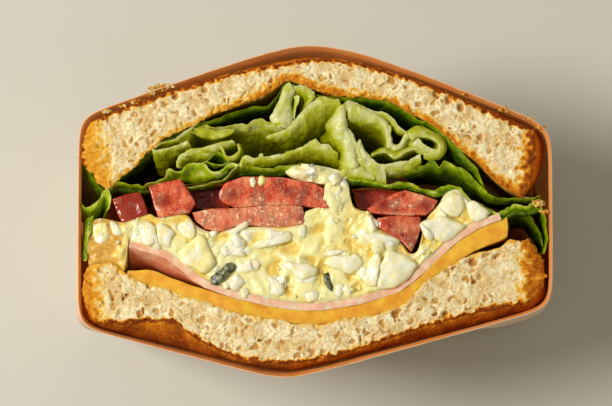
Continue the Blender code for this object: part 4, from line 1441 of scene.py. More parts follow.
@dataclass
class BreadSlice:
    """One slice of toast: torn crumb on the cut, browned faces, a crust that meets the wrap."""

    name: str
    face: Line
    crust: Line
    upper: bool
    bulge: Pair
    toasted: Line  # along the inner face: x, how brown it is, how far in that reaches
    ends: Line  # the same two numbers for the left end and for the right one
    pores: Line  # the largest holes of the cut, as pixels of the frame
    seed: float
    cells: tuple[int, int] = (420, 60)
    knots: int = 120
    length: float = 108.0
    back_span: Pair = (6.5, 2.0)  # heights between which the back draws in
    back_draw: float = 0.16
    crust_reach: float = 8.0  # the crust has met the wrap this far below the cut
    crust_inset: float = 0.85
    hole_size: float = 1.6
    bubble_size: float = 0.8
    void_size: float = 2.3
    pore_radius: float = 0.95
    heights: tuple[float, ...] = (
        60, 59.7, 59.3, 58.7, 57.8, 56.6, 55, 53, 50, 46, 40, 32, 24, 16, 10, 6, 3.6, 2.4)

    def foam(self, points: Array) -> tuple[Array, Array]:
        """Height of the torn crumb over the cut, and how deep its pores are, from 0 to 1.

        Args:
            points: Points of the slice before it is torn.

        Returns:
            Both as a number for each point.
        """
        at = points + [self.seed, 0, 0]
        bend = np.column_stack([GRAIN.smooth(at, 2.4, 2), GRAIN.smooth(at + 50, 2.4, 2)])
        at = at + 0.9 * np.column_stack([bend, np.zeros(len(at))])
        near, second, number = GRAIN.cells(at * [1, 0.8, 1], self.hole_size)
        tuft = GRAIN.smooth(at + 20, 3.0, 3)
        hole = ease(second - near, 0.05, 0.5) * ease(number + 0.4 * tuft, 0.25, 0.95)
        near, second, number = GRAIN.cells(at + 40, self.bubble_size)
        fine = ease(second - near, 0.05, 0.45) * ease(number, 0.35, 1.0)
        pore = np.clip(0.85 * hole + 0.4 * fine, 0, 1)
        far, _, chance = GRAIN.cells(at * [1, 1.3, 1] + 90, self.void_size)
        reach = 0.5 * np.clip(chance * 1.8 - 0.95, 0, 1)
        large = np.clip(1 - (far / np.maximum(reach, 1e-3)) ** 2, 0, 1) * 0.8
        for spot in VIEW.sight(self.pores, 0.0):
            gap = np.hypot(*((points - spot)[:, :2] * [1.0, 0.8]).T)
            large = np.maximum(large, np.clip(1.3 - (gap / self.pore_radius) ** 2, 0, 1.3))
        height = 0.3 * tuft - 0.55 * pore - 0.8 * large
        deep = np.clip(0.9 * pore + 0.9 * large + 0.15 * np.clip(-tuft, 0, 1), 0, 1)
        return height, deep

    def browning(self, at: Array, along: Array, across: Array, thick: Array,
                 on_cut: Array) -> Array:
        """How toasted each point is, from 0 for cream crumb to 1 for the darkest crust.

        Args:
            at: Points of the slice before it is torn.
            along: Shares along the slice.
            across: Shares across it.
            thick: How thick the slice is there.
            on_cut: Whether the point lies on the cut.

        Returns:
            A number for each point.
        """
        to_low, to_high = across * thick, (1 - across) * thick
        inner, outer = (to_low, to_high) if self.upper else (to_high, to_low)
        rough = 1.2 * GRAIN.smooth(at + self.seed, 1.5, 4)
        x, brown, wide = np.array(self.toasted, float).T
        face = np.interp(at[:, 0], x, brown) * ease(inner + rough, np.interp(at[:, 0], x, wide), 0)
        tones = [face, 0.84 * ease(outer + 0.7 * rough, 1.4, 0.2)]
        for (tone, reach), run in zip(self.ends, (along, 1 - along)):
            tones.append(tone * ease(run * self.length + 1.5 * rough, reach, 0))
        outward = across if self.upper else 1 - across
        down = CUT - at[:, 2]
        skin = 0.36 + 0.26 * outward + 0.12 * ease(down, 0.5, 5) + 0.14 * GRAIN.smooth(at, 5, 3)
        return np.where(on_cut, np.maximum.reduce(tones), skin)

    def let_out(self, slab: Slab, flat: Array, along: Array, across: Array,
                height: Array) -> Array:
        """Moves the outer crust out to the wrap, from the cut down.

        Args:
            slab: The slab that the slice is made from.
            flat: Its points as they are.
            along: Shares along the slice.
            across: Shares across it.
            height: Heights over the table.

        Returns:
            The moved flat points.
        """
        start = slab.section(np.clip(along, 0.05, 0.95), np.full(len(along), 0.5))
        way = flat - start
        run = np.linalg.norm(way, axis=1)
        way /= np.maximum(run, 1e-6)[:, None]
        room = np.maximum(SECTION.edge(start, way, self.crust_inset) - run, 0)
        down = np.clip((CUT - height) / self.crust_reach, 0, 1)
        outward = ease(across if self.upper else 1 - across, 0, 1)
        return flat + way * (room * outward * np.sin(down * math.pi / 2))[:, None]

    def build(self, look: Material) -> None:
        """Makes the slice and gives it its looks.

        Args:
            look: The toast's material.
        """
        inner, outer = curve(self.face, self.knots), curve(self.crust, self.knots)
        low, high = (inner, outer) if self.upper else (outer, inner)
        slab = Slab(self.name, low, high, self.cells, self.heights, self.bulge)
        piece = slab.sheet()
        along, across, level, height = slab.seats(piece)
        on_cut = level == 0
        thick = np.linalg.norm(high - low, axis=1)
        thick = np.interp(along, np.linspace(0, 1, self.knots), thick)
        plain = np.column_stack([slab.section(along, across), height])
        seeded = plain + self.seed
        torn = 0.42 * GRAIN.smooth(seeded, 2.6, 2) + 0.3 * GRAIN.smooth(seeded, 0.9, 2)
        torn *= 0.3 + 0.7 * ease(height, 57.5, 59.8)
        side, tail = 2 * across - 1, 2 * along - 1
        shifted = across + torn / thick * np.sign(side) * np.abs(side) ** 7
        along_shift = along + torn / self.length * np.sign(tail) * np.abs(tail) ** 61
        flat = slab.section(along_shift, shifted)
        flat = self.let_out(slab, flat, along, across, height)
        back = ease(height, *self.back_span)
        centre = slab.section(along, np.full(len(along), 0.5))
        flat = centre + (flat - centre) * (1 - self.back_draw * back)[:, None]
        points = np.column_stack([flat, height])
        near_end = np.minimum(along, 1 - along) * self.length
        rim = np.minimum(np.minimum(across, 1 - across) * thick, near_end)
        relief, deep = self.foam(plain)
        swell = 0.3 * GRAIN.smooth(plain + 9, 6.0)
        drop = 0.2 * (1 - ease(rim, 0.0, 0.5))
        points[:, 2] += np.where(on_cut, swell + relief * (0.4 + 0.6 * ease(rim, 0, 0.5)) - drop, 0)
        points[:, 2] -= np.where(level == 1, 0.3, 0)
        place_points(piece, SECTION.settle(points))
        # how deep each pore is; the toast paints deeper pores darker, as painted shade
        mark(piece, "pore", np.where(on_cut, deep, 0))
        mark(piece, "toast", np.clip(self.browning(plain, along, across, thick, on_cut), 0, 1))
        merge(piece)
        finish_piece(piece, look, Slot.TOAST, self.name)


UPPER_FACE = pairs(
    -52, 5.3, -48.7, 8.3, -45, 11.4, -41.2, 15.2, -37.5, 18.3, -31.2, 21.2, -25, 24.5, -18.8, 26.8,
    -13.7, 28.6, -10, 30.8, -7.2, 32.6, -3.7, 32.2, 1.2, 30.3, 7.5, 28.9, 13.7, 28.6, 18.7, 27.5,
    23.7, 24.8, 28.7, 22.2, 32.5, 19.4, 36.2, 15.8, 40, 12.7, 43.7, 9, 47.5, 5.8, 52, 3.4
)
UPPER_CRUST = pairs(
    -56, 22.4, -53.75, 23.75, -48.75, 25.5, -43.75, 27.25, -38.75, 29.25, -33.75, 30.9, -28.75, 32.25,
    -23.75, 33.75, -18.75, 35, -13.75, 36, -8.75, 36.9, -3.75, 37.75, 0, 38.25, 7, 38, 16, 35.8, 26, 32.5,
    36, 28.4, 46, 24, 54.6, 20.2
)
LOWER_FACE = pairs(
    -57, -14.2, -53, -13.2, -50, -13.4, -47.5, -15.4, -45, -16.8, -41, -18.4, -36, -19.8, -31, -21.7,
    -26, -23.4, -21, -24.9, -16, -26.2, -6, -27.9, 0, -28.3, 9, -26.8, 18.7, -24.9, 23.7, -21.8,
    26.5, -18.6, 30, -16.1, 35, -12.9, 40, -10.5, 46, -9.1, 48.6, -7.2, 50.6, -7.6, 53.2, -6.9
)
LOWER_CRUST = pairs(
    -54.5, -27.4, -50, -28.1, -40, -27.6, -34.5, -27.9, -32, -30, -28.5, -32.4, -24, -34.8, -18, -36.9,
    -10, -38.1, 0, -37.3, 9, -35, 21.2, -31, 26.2, -29.2, 33.7, -27.1, 41.2, -25.2, 46.2, -24.1, 53.4, -23
)
SLICES = (
    BreadSlice(
        "bread_upper", UPPER_FACE, UPPER_CRUST, upper=True, bulge=(3.9, 1.4), seed=0.0,
        toasted=((-52, 0.42, 1.8), (-30, 0.42, 2.2), (-18, 0.5, 3.0), (-12, 0.62, 3.8),
                 (6, 0.62, 3.4), (10, 0.5, 2.6), (18, 0.55, 2.8), (28, 0.58, 3.0), (40, 0.62, 3.6),
                 (52, 0.7, 4.5)),
        ends=((0.44, 5.0), (0.8, 3.4)), pores=((175, 95), (437, 93), (449, 99), (461, 107))),
    BreadSlice(
        "bread_lower", LOWER_FACE, LOWER_CRUST, upper=False, bulge=(1.8, 3.4), seed=40.0,
        toasted=((-57, 0.4, 2.0), (-30, 0.3, 1.0), (30, 0.3, 1.0), (46, 0.3, 1.2), (54, 0.6, 2.0)),
        ends=((0.5, 5.4), (0.66, 4.0)), pores=((472, 262), (395, 314), (445, 315))),
)


# --- cheese and ham

CHEESE_TOP = pairs(
    -44.6, -15.2, -41, -15, -36, -17, -28.7, -19.5, -18.7, -22.4, -8.7, -24.5, 0, -25.2, 8, -24.2,
    16, -22.4, 21.5, -20.4, 26, -17.4, 30, -13.7, 34, -10.3, 38, -7.4, 43, -4.6, 47.9, -1.9
)
HAM_TOP = pairs(
    -46.3, -7.2, -43.7, -8, -40, -9, -36.3, -10.4, -33.7, -12.3, -31, -14.9, -28, -17.2, -23.7, -18.8,
    -18.7, -20.6, -13.7, -21.9, -3.7, -23.4, 8.7, -22.1, 13.7, -20.9, 21.2, -18.2, 25, -15.2, 28.7, -11.6,
    33.7, -7, 37.5, -4.3, 42, -1.9, 46.3, -0.4
)


@dataclass
class ColdCuts:
    """The slice of cheese on the lower toast, and the slice of ham on it, curled at the left."""

    gap: float = 0.35
    ham_thick: float = 1.6
    ham_wall: float = 1.8  # the thickness of its mesh, which also fills the gap under it
    ham_reach: float = 46.3
    ham_columns: int = 260
    ham_rim: Pair = (0.2, 0.7)  # depths of its first two rows
    ham_fine: tuple = (1.3, 16, 26)  # first and last depth of the rows after them, and how many
    ham_coarse: tuple = (18, 54, 16)
    curl_depth: float = 14.0
    stations: int = 30
    cheese_ends: Pair = (-46.6, 47.9)
    cheese_knots: int = 120
    cheese_cells: tuple[int, int] = (230, 14)
    cheese_thick: Pair = (1.2, 5.2)  # least and most
    cheese_bulge: Pair = (0.3, 0.3)
    cheese_heights: tuple[float, ...] = (59.75, 59.5, 58.9, 57.5, 54, 48, 40, 30, 20, 12, 5)

    def __post_init__(self) -> None:
        """Works out the ham's lines from the cheese under it."""
        self.x = np.linspace(-self.ham_reach, self.ham_reach, self.stations)
        self.cheese_line = height_on(CHEESE_TOP, self.x)
        self.stretch = np.sqrt(1 + np.gradient(self.cheese_line, self.x) ** 2)
        self.flat = self.cheese_line + self.stretch * (self.gap + self.ham_thick)
        self.rim = np.maximum(height_on(HAM_TOP, self.x), self.flat)

    def ham_top(self, x: Array, z: Array | float) -> Array:
        """Height in the section of the ham's upper face.

        Args:
            x: Where to read it.
            z: Heights over the table; the ham curls up towards the cut.

        Returns:
            A height in the section for each place.
        """
        curl = np.clip(1 - (CUT - np.asarray(z, float)) / self.curl_depth, 0, 1) ** 1.2
        flat, rim = np.interp(x, self.x, self.flat), np.interp(x, self.x, self.rim)
        return flat + (rim - flat) * curl

    def cheese(self) -> None:
        """The cheese: an even slab with soft edges, thick at its right end."""
        x = np.linspace(*self.cheese_ends, self.cheese_knots)
        least, most = self.cheese_thick
        lift = np.interp(x, self.x, self.rim - self.flat) * ease(x, 0, 10)
        high = height_on(CHEESE_TOP, x) + 0.3 + lift
        low = np.maximum(height_on(LOWER_FACE, x) - 0.1, high - most)
        low = np.minimum(low, high - least)
        slab = Slab("cheese", np.column_stack([x, low]), np.column_stack([x, high]),
                    self.cheese_cells, self.cheese_heights, self.cheese_bulge)
        piece = slab.sheet()
        along, across, level, height = slab.seats(piece)
        side = 2 * across - 1
        plain = np.column_stack([slab.section(along, across), height])
        wave = 0.16 * GRAIN.smooth(plain, 5) * side**2 * np.sign(side) / 3
        flat = slab.section(along, 0.5 + (across - 0.5) * (1 - 0.05 * (level == 0)) + wave)
        points = np.column_stack([flat, height])
        points[:, 2] += np.where(level == 0, 0.22 * GRAIN.smooth(plain, 7, 2) - 0.12 * side**4, 0)
        place_points(piece, SECTION.settle(points))
        merge(piece)
        finish_piece(piece, CheeseFinish().material(), Slot.CHEESE, "cheese")

    def ham(self) -> None:
        """The ham: one thin slice, wavy at its rim, its left end standing off the cheese."""
        x = np.linspace(-self.ham_reach, self.ham_reach, self.ham_columns)
        fine, coarse = np.linspace(*self.ham_fine), np.linspace(*self.ham_coarse)
        depths = np.concatenate([self.ham_rim, fine, coarse])
        grid, deep = [], []
        for depth in depths:
            z = np.full(len(x), CUT - depth)
            stretch = np.interp(x, self.x, self.stretch)
            middle = self.ham_top(x, z) - stretch * self.ham_thick / 2
            points = np.column_stack([x, middle, z])
            points[:, 1] += 0.12 * GRAIN.smooth(points, 4) * ease(depth, 9, 0)
            points[:, 2] += 0.35 * GRAIN.smooth(points * [1, 1, 0] + 3, 6, 2) * ease(depth, 6, 0)
            grid.append(SECTION.settle(points))
            deep.append(np.full(len(x), depth))
        piece = lay_grid("ham", np.array(grid), {"deep": np.array(deep)})
        thicken(piece, self.ham_wall)
        merge(piece)
        finish_piece(piece, HamFinish().material(), Slot.HAM, "ham")


CUTS = ColdCuts()


# --- tomato


def rounded_ring(outline: Line | Array, count: int, soft: float) -> Array:
    """A closed ring along an outline whose corners are partly rounded.

    Args:
        outline: The corners, in millimetres.
        count: How many points the ring has before its first one comes again.
        soft: 0 for sharp corners, 1 for a smooth curve.

    Returns:
        An array of count + 1 points.
    """
    knots = np.array([*outline, outline[0]], float)
    step = np.linspace(0, len(knots) - 1, count + 1)
    straight = np.column_stack([np.interp(step, np.arange(len(knots)), c) for c in knots.T])
    bent = curve(knots, count + 1)
    nearest = np.linalg.norm(bent[:, None] - straight[None], axis=2).argmin(axis=1)
    ring = soft * bent + (1 - soft) * straight[nearest]
    ring[-1] = ring[0]
    return ring


@dataclass
class TomatoPiece:
    """A piece of tomato: its cut face, and sides that taper to a rounded end below."""

    name: str
    outline: Line
    bottom: float
    lean: Pair
    gel: Line = ()  # middles of wet hollows on the cut face, in millimetres
    smear: float = 0.3  # how much dressing lies on it
    dark: float = 0.0  # how dark all of it is painted, in the wet colour; painted shade on pieces that lie in shade
    top: float = 0.3  # how far its face stands over the cut
    behind: bool = False  # the far part of a piece whose cut face shows beside it
    rings: int = 22
    around: int = 120
    soft: float = 0.2  # how rounded its corners are
    side_rows: int = 18
    narrowed: float = 0.45  # what it loses of its width on the way down

    def rows(self, ring: Array) -> tuple[Array, Array, Array]:
        """Lays out the piece as rings, from the middle of its face over the edge to its end.

        Args:
            ring: The outline of its face, closed.

        Returns:
            The points by ring, which of them are on a side, and where dressing is wiped on.
        """
        centre, lean = ring[:-1].mean(axis=0), np.array(self.lean)
        run = ring - centre
        under = ease(run[:, 1] / np.linalg.norm(run, axis=1), -0.1, -0.7)
        clean = self.dark < 0.9
        rows, side, wiped = [], [], []
        for share in np.linspace(0, 1, self.rings) ** 0.8:
            rows.append(spread(centre + run * share, CUT + self.top - 0.3 * share**16))
            side.append(np.full(len(ring), ease(share, 0.93, 1.0) * 0.45))
            wiped.append(under * ease(share, 0.45, 1.0) * clean)
        for along in np.linspace(0.02, 1, self.side_rows):
            scale = (1 - self.narrowed * along**2.5) * (1 if along < 0.97 else 0.6)
            flat = centre + run * scale + lean * along
            rows.append(spread(flat, CUT + (self.bottom - CUT) * along))
            side.append(np.ones(len(ring)))
            wiped.append(under * clean)
        rows.append(spread(np.tile(centre + lean, (len(ring), 1)), self.bottom - 0.4))
        side.append(np.ones(len(ring)))
        wiped.append(under)
        return np.array(rows), np.array(side), np.array(wiped)

    def build(self, look: Material) -> None:
        """Makes the piece with its grain, hollows and dressing.

        Args:
            look: The tomato's material.
        """
        ring = rounded_ring(self.outline, self.around, self.soft)
        points, side, wiped = self.rows(ring)
        flat = points.reshape(-1, 3)
        face = 1 - side.ravel()
        relief = 0.16 * GRAIN.smooth(flat + 70, 3.2, 2) + 0.08 * GRAIN.smooth(flat, 0.9)
        # painted shade: a piece painted dark all over gets the wet colour on all of its face
        gel = np.full(len(flat), self.dark)
        for x, y, size in self.gel:
            gap = np.hypot(flat[:, 0] - x, (flat[:, 1] - y) * 1.3)
            gel = np.maximum(gel, ease(gap, size * 1.7, size * 0.3))
        rough = 0.1 * GRAIN.smooth(flat, 2.4, 2) * (1 - face)
        flat[:, 2] += face * (relief - 0.1 * gel)
        flat[:, :2] += (flat[:, :2] - ring[:-1].mean(axis=0)) * rough[:, None] * 0.3
        cover = np.clip(self.smear + 0.8 * GRAIN.smooth(flat + 20, 4.0, 2), 0, 1) * face
        patchy = ease(GRAIN.smooth(flat + 60, 2.6, 2), -0.35, 0.1)
        cover = np.maximum(cover, 0.85 * wiped.ravel() * patchy)
        placed = SECTION.settle(flat).reshape(points.shape)
        marks = {"side": side, "gel": np.clip(gel * face, 0, 1), "smear": cover}
        piece = lay_grid(self.name, placed, marks)
        merge(piece)
        nodes = () if self.behind else (self.name,)
        finish_piece(piece, look, Slot.TOMATO, *nodes, angle=55)


TOMATOES = (
    TomatoPiece("tomato_left_end", pairs(-50.6, 3, -47, 4.2, -43.8, 4.6, -42.6, 2, -42, -0.6, -45, -1.9,
        -48.2, -2.9, -49.6, 0), bottom=44, lean=(1, -0.6), smear=-0.4, dark=0.95),
    TomatoPiece("tomato_left", pairs(-41.6, 6.2, -37.5, 7.2, -33.7, 8, -31.6, 5, -29.9, 1.9, -31.5, -0.4,
        -35, -1, -39, -1.6, -40.4, 2), bottom=38, lean=(1.5, -1), gel=((-38.4, 2.6, 2.2),), smear=0.05),
    TomatoPiece("tomato_middle", pairs(-24, 4.6, -22.4, 7, -18, 8.6, -13, 8.6, -8, 8.4, -4, 7.6, 0, 6.8,
        3, 5, 4.8, 2.4, 3.6, 0.6, -5, 1.5, -12, 1.4, -20, 0.8, -23.4, 2.4), bottom=34, lean=(0, -1),
        gel=((-6.6, 5, 1.7), (-2.6, 4.4, 1.5), (-21, 4.2, 2.0)), smear=0.15),
    TomatoPiece("tomato_lower", pairs(-30.6, -0.4, -26, 0.6, -19, 0.8, -12, 1.4, -5, 1.5, -3, 1, -2.6, -3,
        -7, -3.9, -12, -4, -17, -3.4, -20, -3.8, -24, -5.2, -27.4, -4.4, -29.6, -2.6), bottom=36,
        lean=(0, -1.5), smear=0.75, dark=0, top=0.1),
    TomatoPiece("tomato_right", pairs(13, 0.6, 17, 2.6, 20, 4.4, 22.6, 5.2, 27, 4, 30.6, 2.6, 29.4, 0.4,
        27.6, -1, 23, -1.2, 18, -0.9, 14, -0.4), bottom=36, lean=(0, -1), gel=((27.6, 1.6, 2.0),
        (17.4, 1.6, 2.2)), smear=0.12),
    TomatoPiece("tomato_right_low", pairs(15.6, -1.8, 19, -1.2, 23, -1.3, 26.3, -1.5, 26.2, -5, 25.2, -8,
        24, -10.2, 22, -8, 19, -6, 16, -4.2), bottom=40, lean=(0, 0), smear=0.25, dark=0.3),
    # painted shade: the far pieces behind others are painted dark all over
    TomatoPiece("tomato_left_behind", pairs(-33, 6.6, -28, 7, -22, 6.6, -21, 3, -22, 0.6, -28, 0.8,
        -31.6, 1.6), bottom=36, lean=(0, 0), smear=-0.5, dark=1.0, top=-8, behind=True),
    TomatoPiece("tomato_right_behind", pairs(9.5, 5.4, 14, 5.8, 20, 5, 26, 4.4, 25, 0.6, 18, 0.8, 11, 0.6),
        bottom=36, lean=(0, 0), smear=-0.1, dark=0.8, top=-4.5, behind=True),
)


# --- egg salad

SALAD_TOP = pairs(
    -56.3, -3.6, -53.6, -2.9, -50.6, -3.4, -48, -3.9, -45, -2.8, -41.2, -1.8, -39.6, -2.7, -35, -2,
    -32, -2.2, -30, -4.4, -27.4, -6, -24, -6.4, -20, -5.2, -12, -5, -6, -4.6, -3.2, -4.2, -2.6, -1.4,
    0.2, -0.2, 1.6, 1.4, 2.2, 4.6, 3, 6.6, 4.6, 7.4, 7, 7.3, 8.2, 6, 8.6, 3.6, 9.4, 0.4, 11, -0.8,
    13.4, -1.4, 14.8, -3, 15.4, -5.2, 18.6, -7, 21.6, -9.4, 23.6, -11.8, 25.6, -10.8, 27, -5.6, 28.2, -2.4,
    30.8, 0.6, 32.6, 3.4, 35.6, 4.4, 38, 2.2, 40.6, 0, 43, -0.7
)


@dataclass(frozen=True)
class EggChunk:
    """A piece of egg white: its outline in the frame, how far it stands proud, and its slope."""

    outline: Line
    stand: float = 0.9
    slope: Pair = (0.0, 0.0)  # rise of its face along +X and +Y
    dome: float = 0.5
    yolk: float = 0.0
    rough: float = 1.0


EGG_CHUNKS = (
    EggChunk(pairs(131, 228, 136, 225, 142, 222, 150, 222, 155, 226, 157, 234, 156, 243, 150, 246, 144, 245,
        136, 243, 130, 240), 1.0, (0.05, 0.04), 0.25),
    EggChunk(pairs(156, 224, 161, 223, 166, 225, 171, 228, 175, 232, 173, 238, 171, 249, 165, 247, 159, 243,
        157, 235), 1.2, (-0.16, 0.05), 0.3, 0.35),
    EggChunk(pairs(176, 226, 181, 222, 186, 221, 192, 220, 196, 231, 195, 237, 190, 239, 184, 237,
        180, 233), 1.1, (0.1, -0.1), 0.4),
    EggChunk(pairs(177, 252, 184, 245, 190, 241, 196, 236, 201, 234, 206, 238, 211, 250, 216, 263, 213, 268,
        208, 272, 201, 273, 195, 268, 184, 265, 179, 259), 1.9, (0.03, 0.02), 0.5, 0.75),
    EggChunk(pairs(219, 248, 224, 243, 231, 240, 238, 238, 245, 239, 246, 247, 245, 256, 238, 257, 230, 256,
        223, 258), 1.1, (0.04, 0.08), 0.35, 0.2),
    EggChunk(pairs(209, 232, 213, 230, 218, 231, 216, 236, 211, 238), 0.8),
    EggChunk(pairs(252, 246, 256, 241, 262, 239, 270, 237, 278, 234, 286, 231, 291, 231, 293, 236, 291, 240,
        285, 243, 277, 245, 268, 247, 258, 249), 1.4, (0.0, -0.05), 0.3),
    EggChunk(pairs(109, 220, 114, 221, 118, 224, 124, 232, 122, 236, 116, 236, 112, 233), 0.7, (0.0, 0.05),
        0.4),
    EggChunk(pairs(93, 224, 100, 222, 107, 222, 109, 230, 111, 236, 108, 242, 101, 245, 95, 242, 92, 234),
        0.5, (0.05, 0.0), 0.6, 0.7),
    EggChunk(pairs(226, 281, 231, 277, 237, 273, 242, 277, 246, 281, 243, 286, 238, 291, 231, 290), 1.0,
        (-0.1, 0.1), 0.6, 0.1),
    EggChunk(pairs(240, 290, 246, 287, 250, 291, 247, 298, 242, 299), 0.8),
    EggChunk(pairs(297, 229, 302, 224, 306, 225, 307, 232, 305, 238, 299, 237), 1.0),
    EggChunk(pairs(360, 236, 366, 233, 374, 232, 382, 233, 390, 235, 398, 238, 401, 240, 398, 245, 390, 247,
        381, 246, 372, 245), 1.5, (-0.04, -0.05), 0.3),
    EggChunk(pairs(324, 263, 328, 257, 335, 255, 350, 255, 356, 253, 361, 257, 364, 263, 360, 270, 352, 274,
        345, 273, 338, 270, 331, 268), 1.7, (0.0, 0.05), 0.9, 0.25),
    EggChunk(pairs(280, 265, 286, 260, 294, 262, 302, 262, 310, 264, 318, 268, 317, 276, 311, 280, 303, 282,
        297, 280, 292, 273), 1.3, (0.0, 0.0), 0.9, 0.3),
    EggChunk(pairs(362, 280, 366, 270, 369, 260, 374, 254, 379, 252, 381, 262, 379, 274, 376, 286,
        368, 286), 1.9, (0.18, 0.0), 0.2, 0.1),
    EggChunk(pairs(378, 268, 384, 258, 386, 251, 394, 251, 404, 254, 412, 259, 418, 264, 414, 272, 408, 279,
        402, 284, 394, 288, 384, 289, 377, 287), 1.8, (-0.07, 0.05), 0.3),
    EggChunk(pairs(419, 224, 424, 221, 430, 222, 433, 228, 436, 236, 431, 241, 425, 238), 1.1, (-0.08, 0.0),
        0.4, 0.3),
    EggChunk(pairs(437, 206, 447, 195, 455, 192, 462, 195, 466, 202, 464, 211, 458, 217, 450, 216,
        441, 213), 1.2, (0.0, 0.05), 0.6, 0.4),
    EggChunk(pairs(420, 222, 430, 218, 441, 215, 452, 219, 460, 222, 466, 226, 460, 233, 452, 240, 443, 243,
        434, 238), 1.6, (-0.05, 0.1), 0.5, 0.05),
    EggChunk(pairs(465, 201, 474, 200, 482, 205, 490, 211, 487, 218, 478, 222, 470, 219), 0.8, (0.05, 0.05),
        0.3),
    EggChunk(pairs(268, 275, 276, 278, 284, 284, 285, 292, 278, 297, 270, 294), 0.9, (0.05, 0.05), 0.5),
    EggChunk(pairs(335, 284, 343, 283, 344, 292, 340, 298, 335, 296), 0.8),
    EggChunk(pairs(302, 293, 312, 290, 320, 293, 318, 300, 308, 303), 0.7, (0, 0), 0.6, 0.1),
    EggChunk(pairs(226, 233, 235, 227, 243, 222, 249, 219, 250, 224, 243, 230, 235, 235), 0.9,
        (-0.05, -0.15), 0.4),
    EggChunk(pairs(367, 222, 374, 218, 380, 222, 379, 227, 371, 228), 0.8),
    EggChunk(pairs(308, 164, 313, 163, 316, 168, 316, 176, 312, 180, 308, 174), 0.9),
    EggChunk(pairs(320, 254, 330, 250, 340, 249, 348, 251, 340, 254, 330, 257), 0.8),
    EggChunk(pairs(248, 262, 256, 258, 262, 262, 258, 270, 250, 270), 0.7, (0, 0), 0.6, 0.3),
    EggChunk(pairs(225, 262, 219, 259, 222, 268, 214, 274, 212, 268), 0.3),
    EggChunk(pairs(286, 171.5, 292, 165, 300, 163, 312, 164, 325, 166, 338, 169, 348, 176, 346, 184,
        334, 184, 320, 184, 306, 181, 294, 179), 0.3, (0, 0), 0.8, 0.6, 5.0),
    EggChunk(pairs(249, 178, 254, 176, 256.5, 182, 254, 188, 250, 186), 1.1),
    EggChunk(pairs(257, 177, 262, 175, 267, 178, 266, 184, 260, 187, 256, 182), 1.1, (0, 0), 0.8, 1.0, 1.5),
    EggChunk(pairs(325, 188, 332, 178, 342, 180, 348, 190, 348, 204, 342, 213, 331, 211, 325, 201), 0.7,
        (0, 0), 0.9, 0.8, 2.0),
)
PICKLE_OUTLINES = (
    EggChunk(pairs(210, 277, 216, 272, 222, 268, 227, 263, 232, 262, 237, 265, 235, 270, 229, 276, 222, 282,
        216, 286, 211, 284), 1.3, (0.05, 0.0), 0.5),
    EggChunk(pairs(323, 274, 329, 272, 331, 280, 334, 287, 333, 293, 328, 289, 324, 283), 0.5, (0.0, 0.0),
        0.3),
)


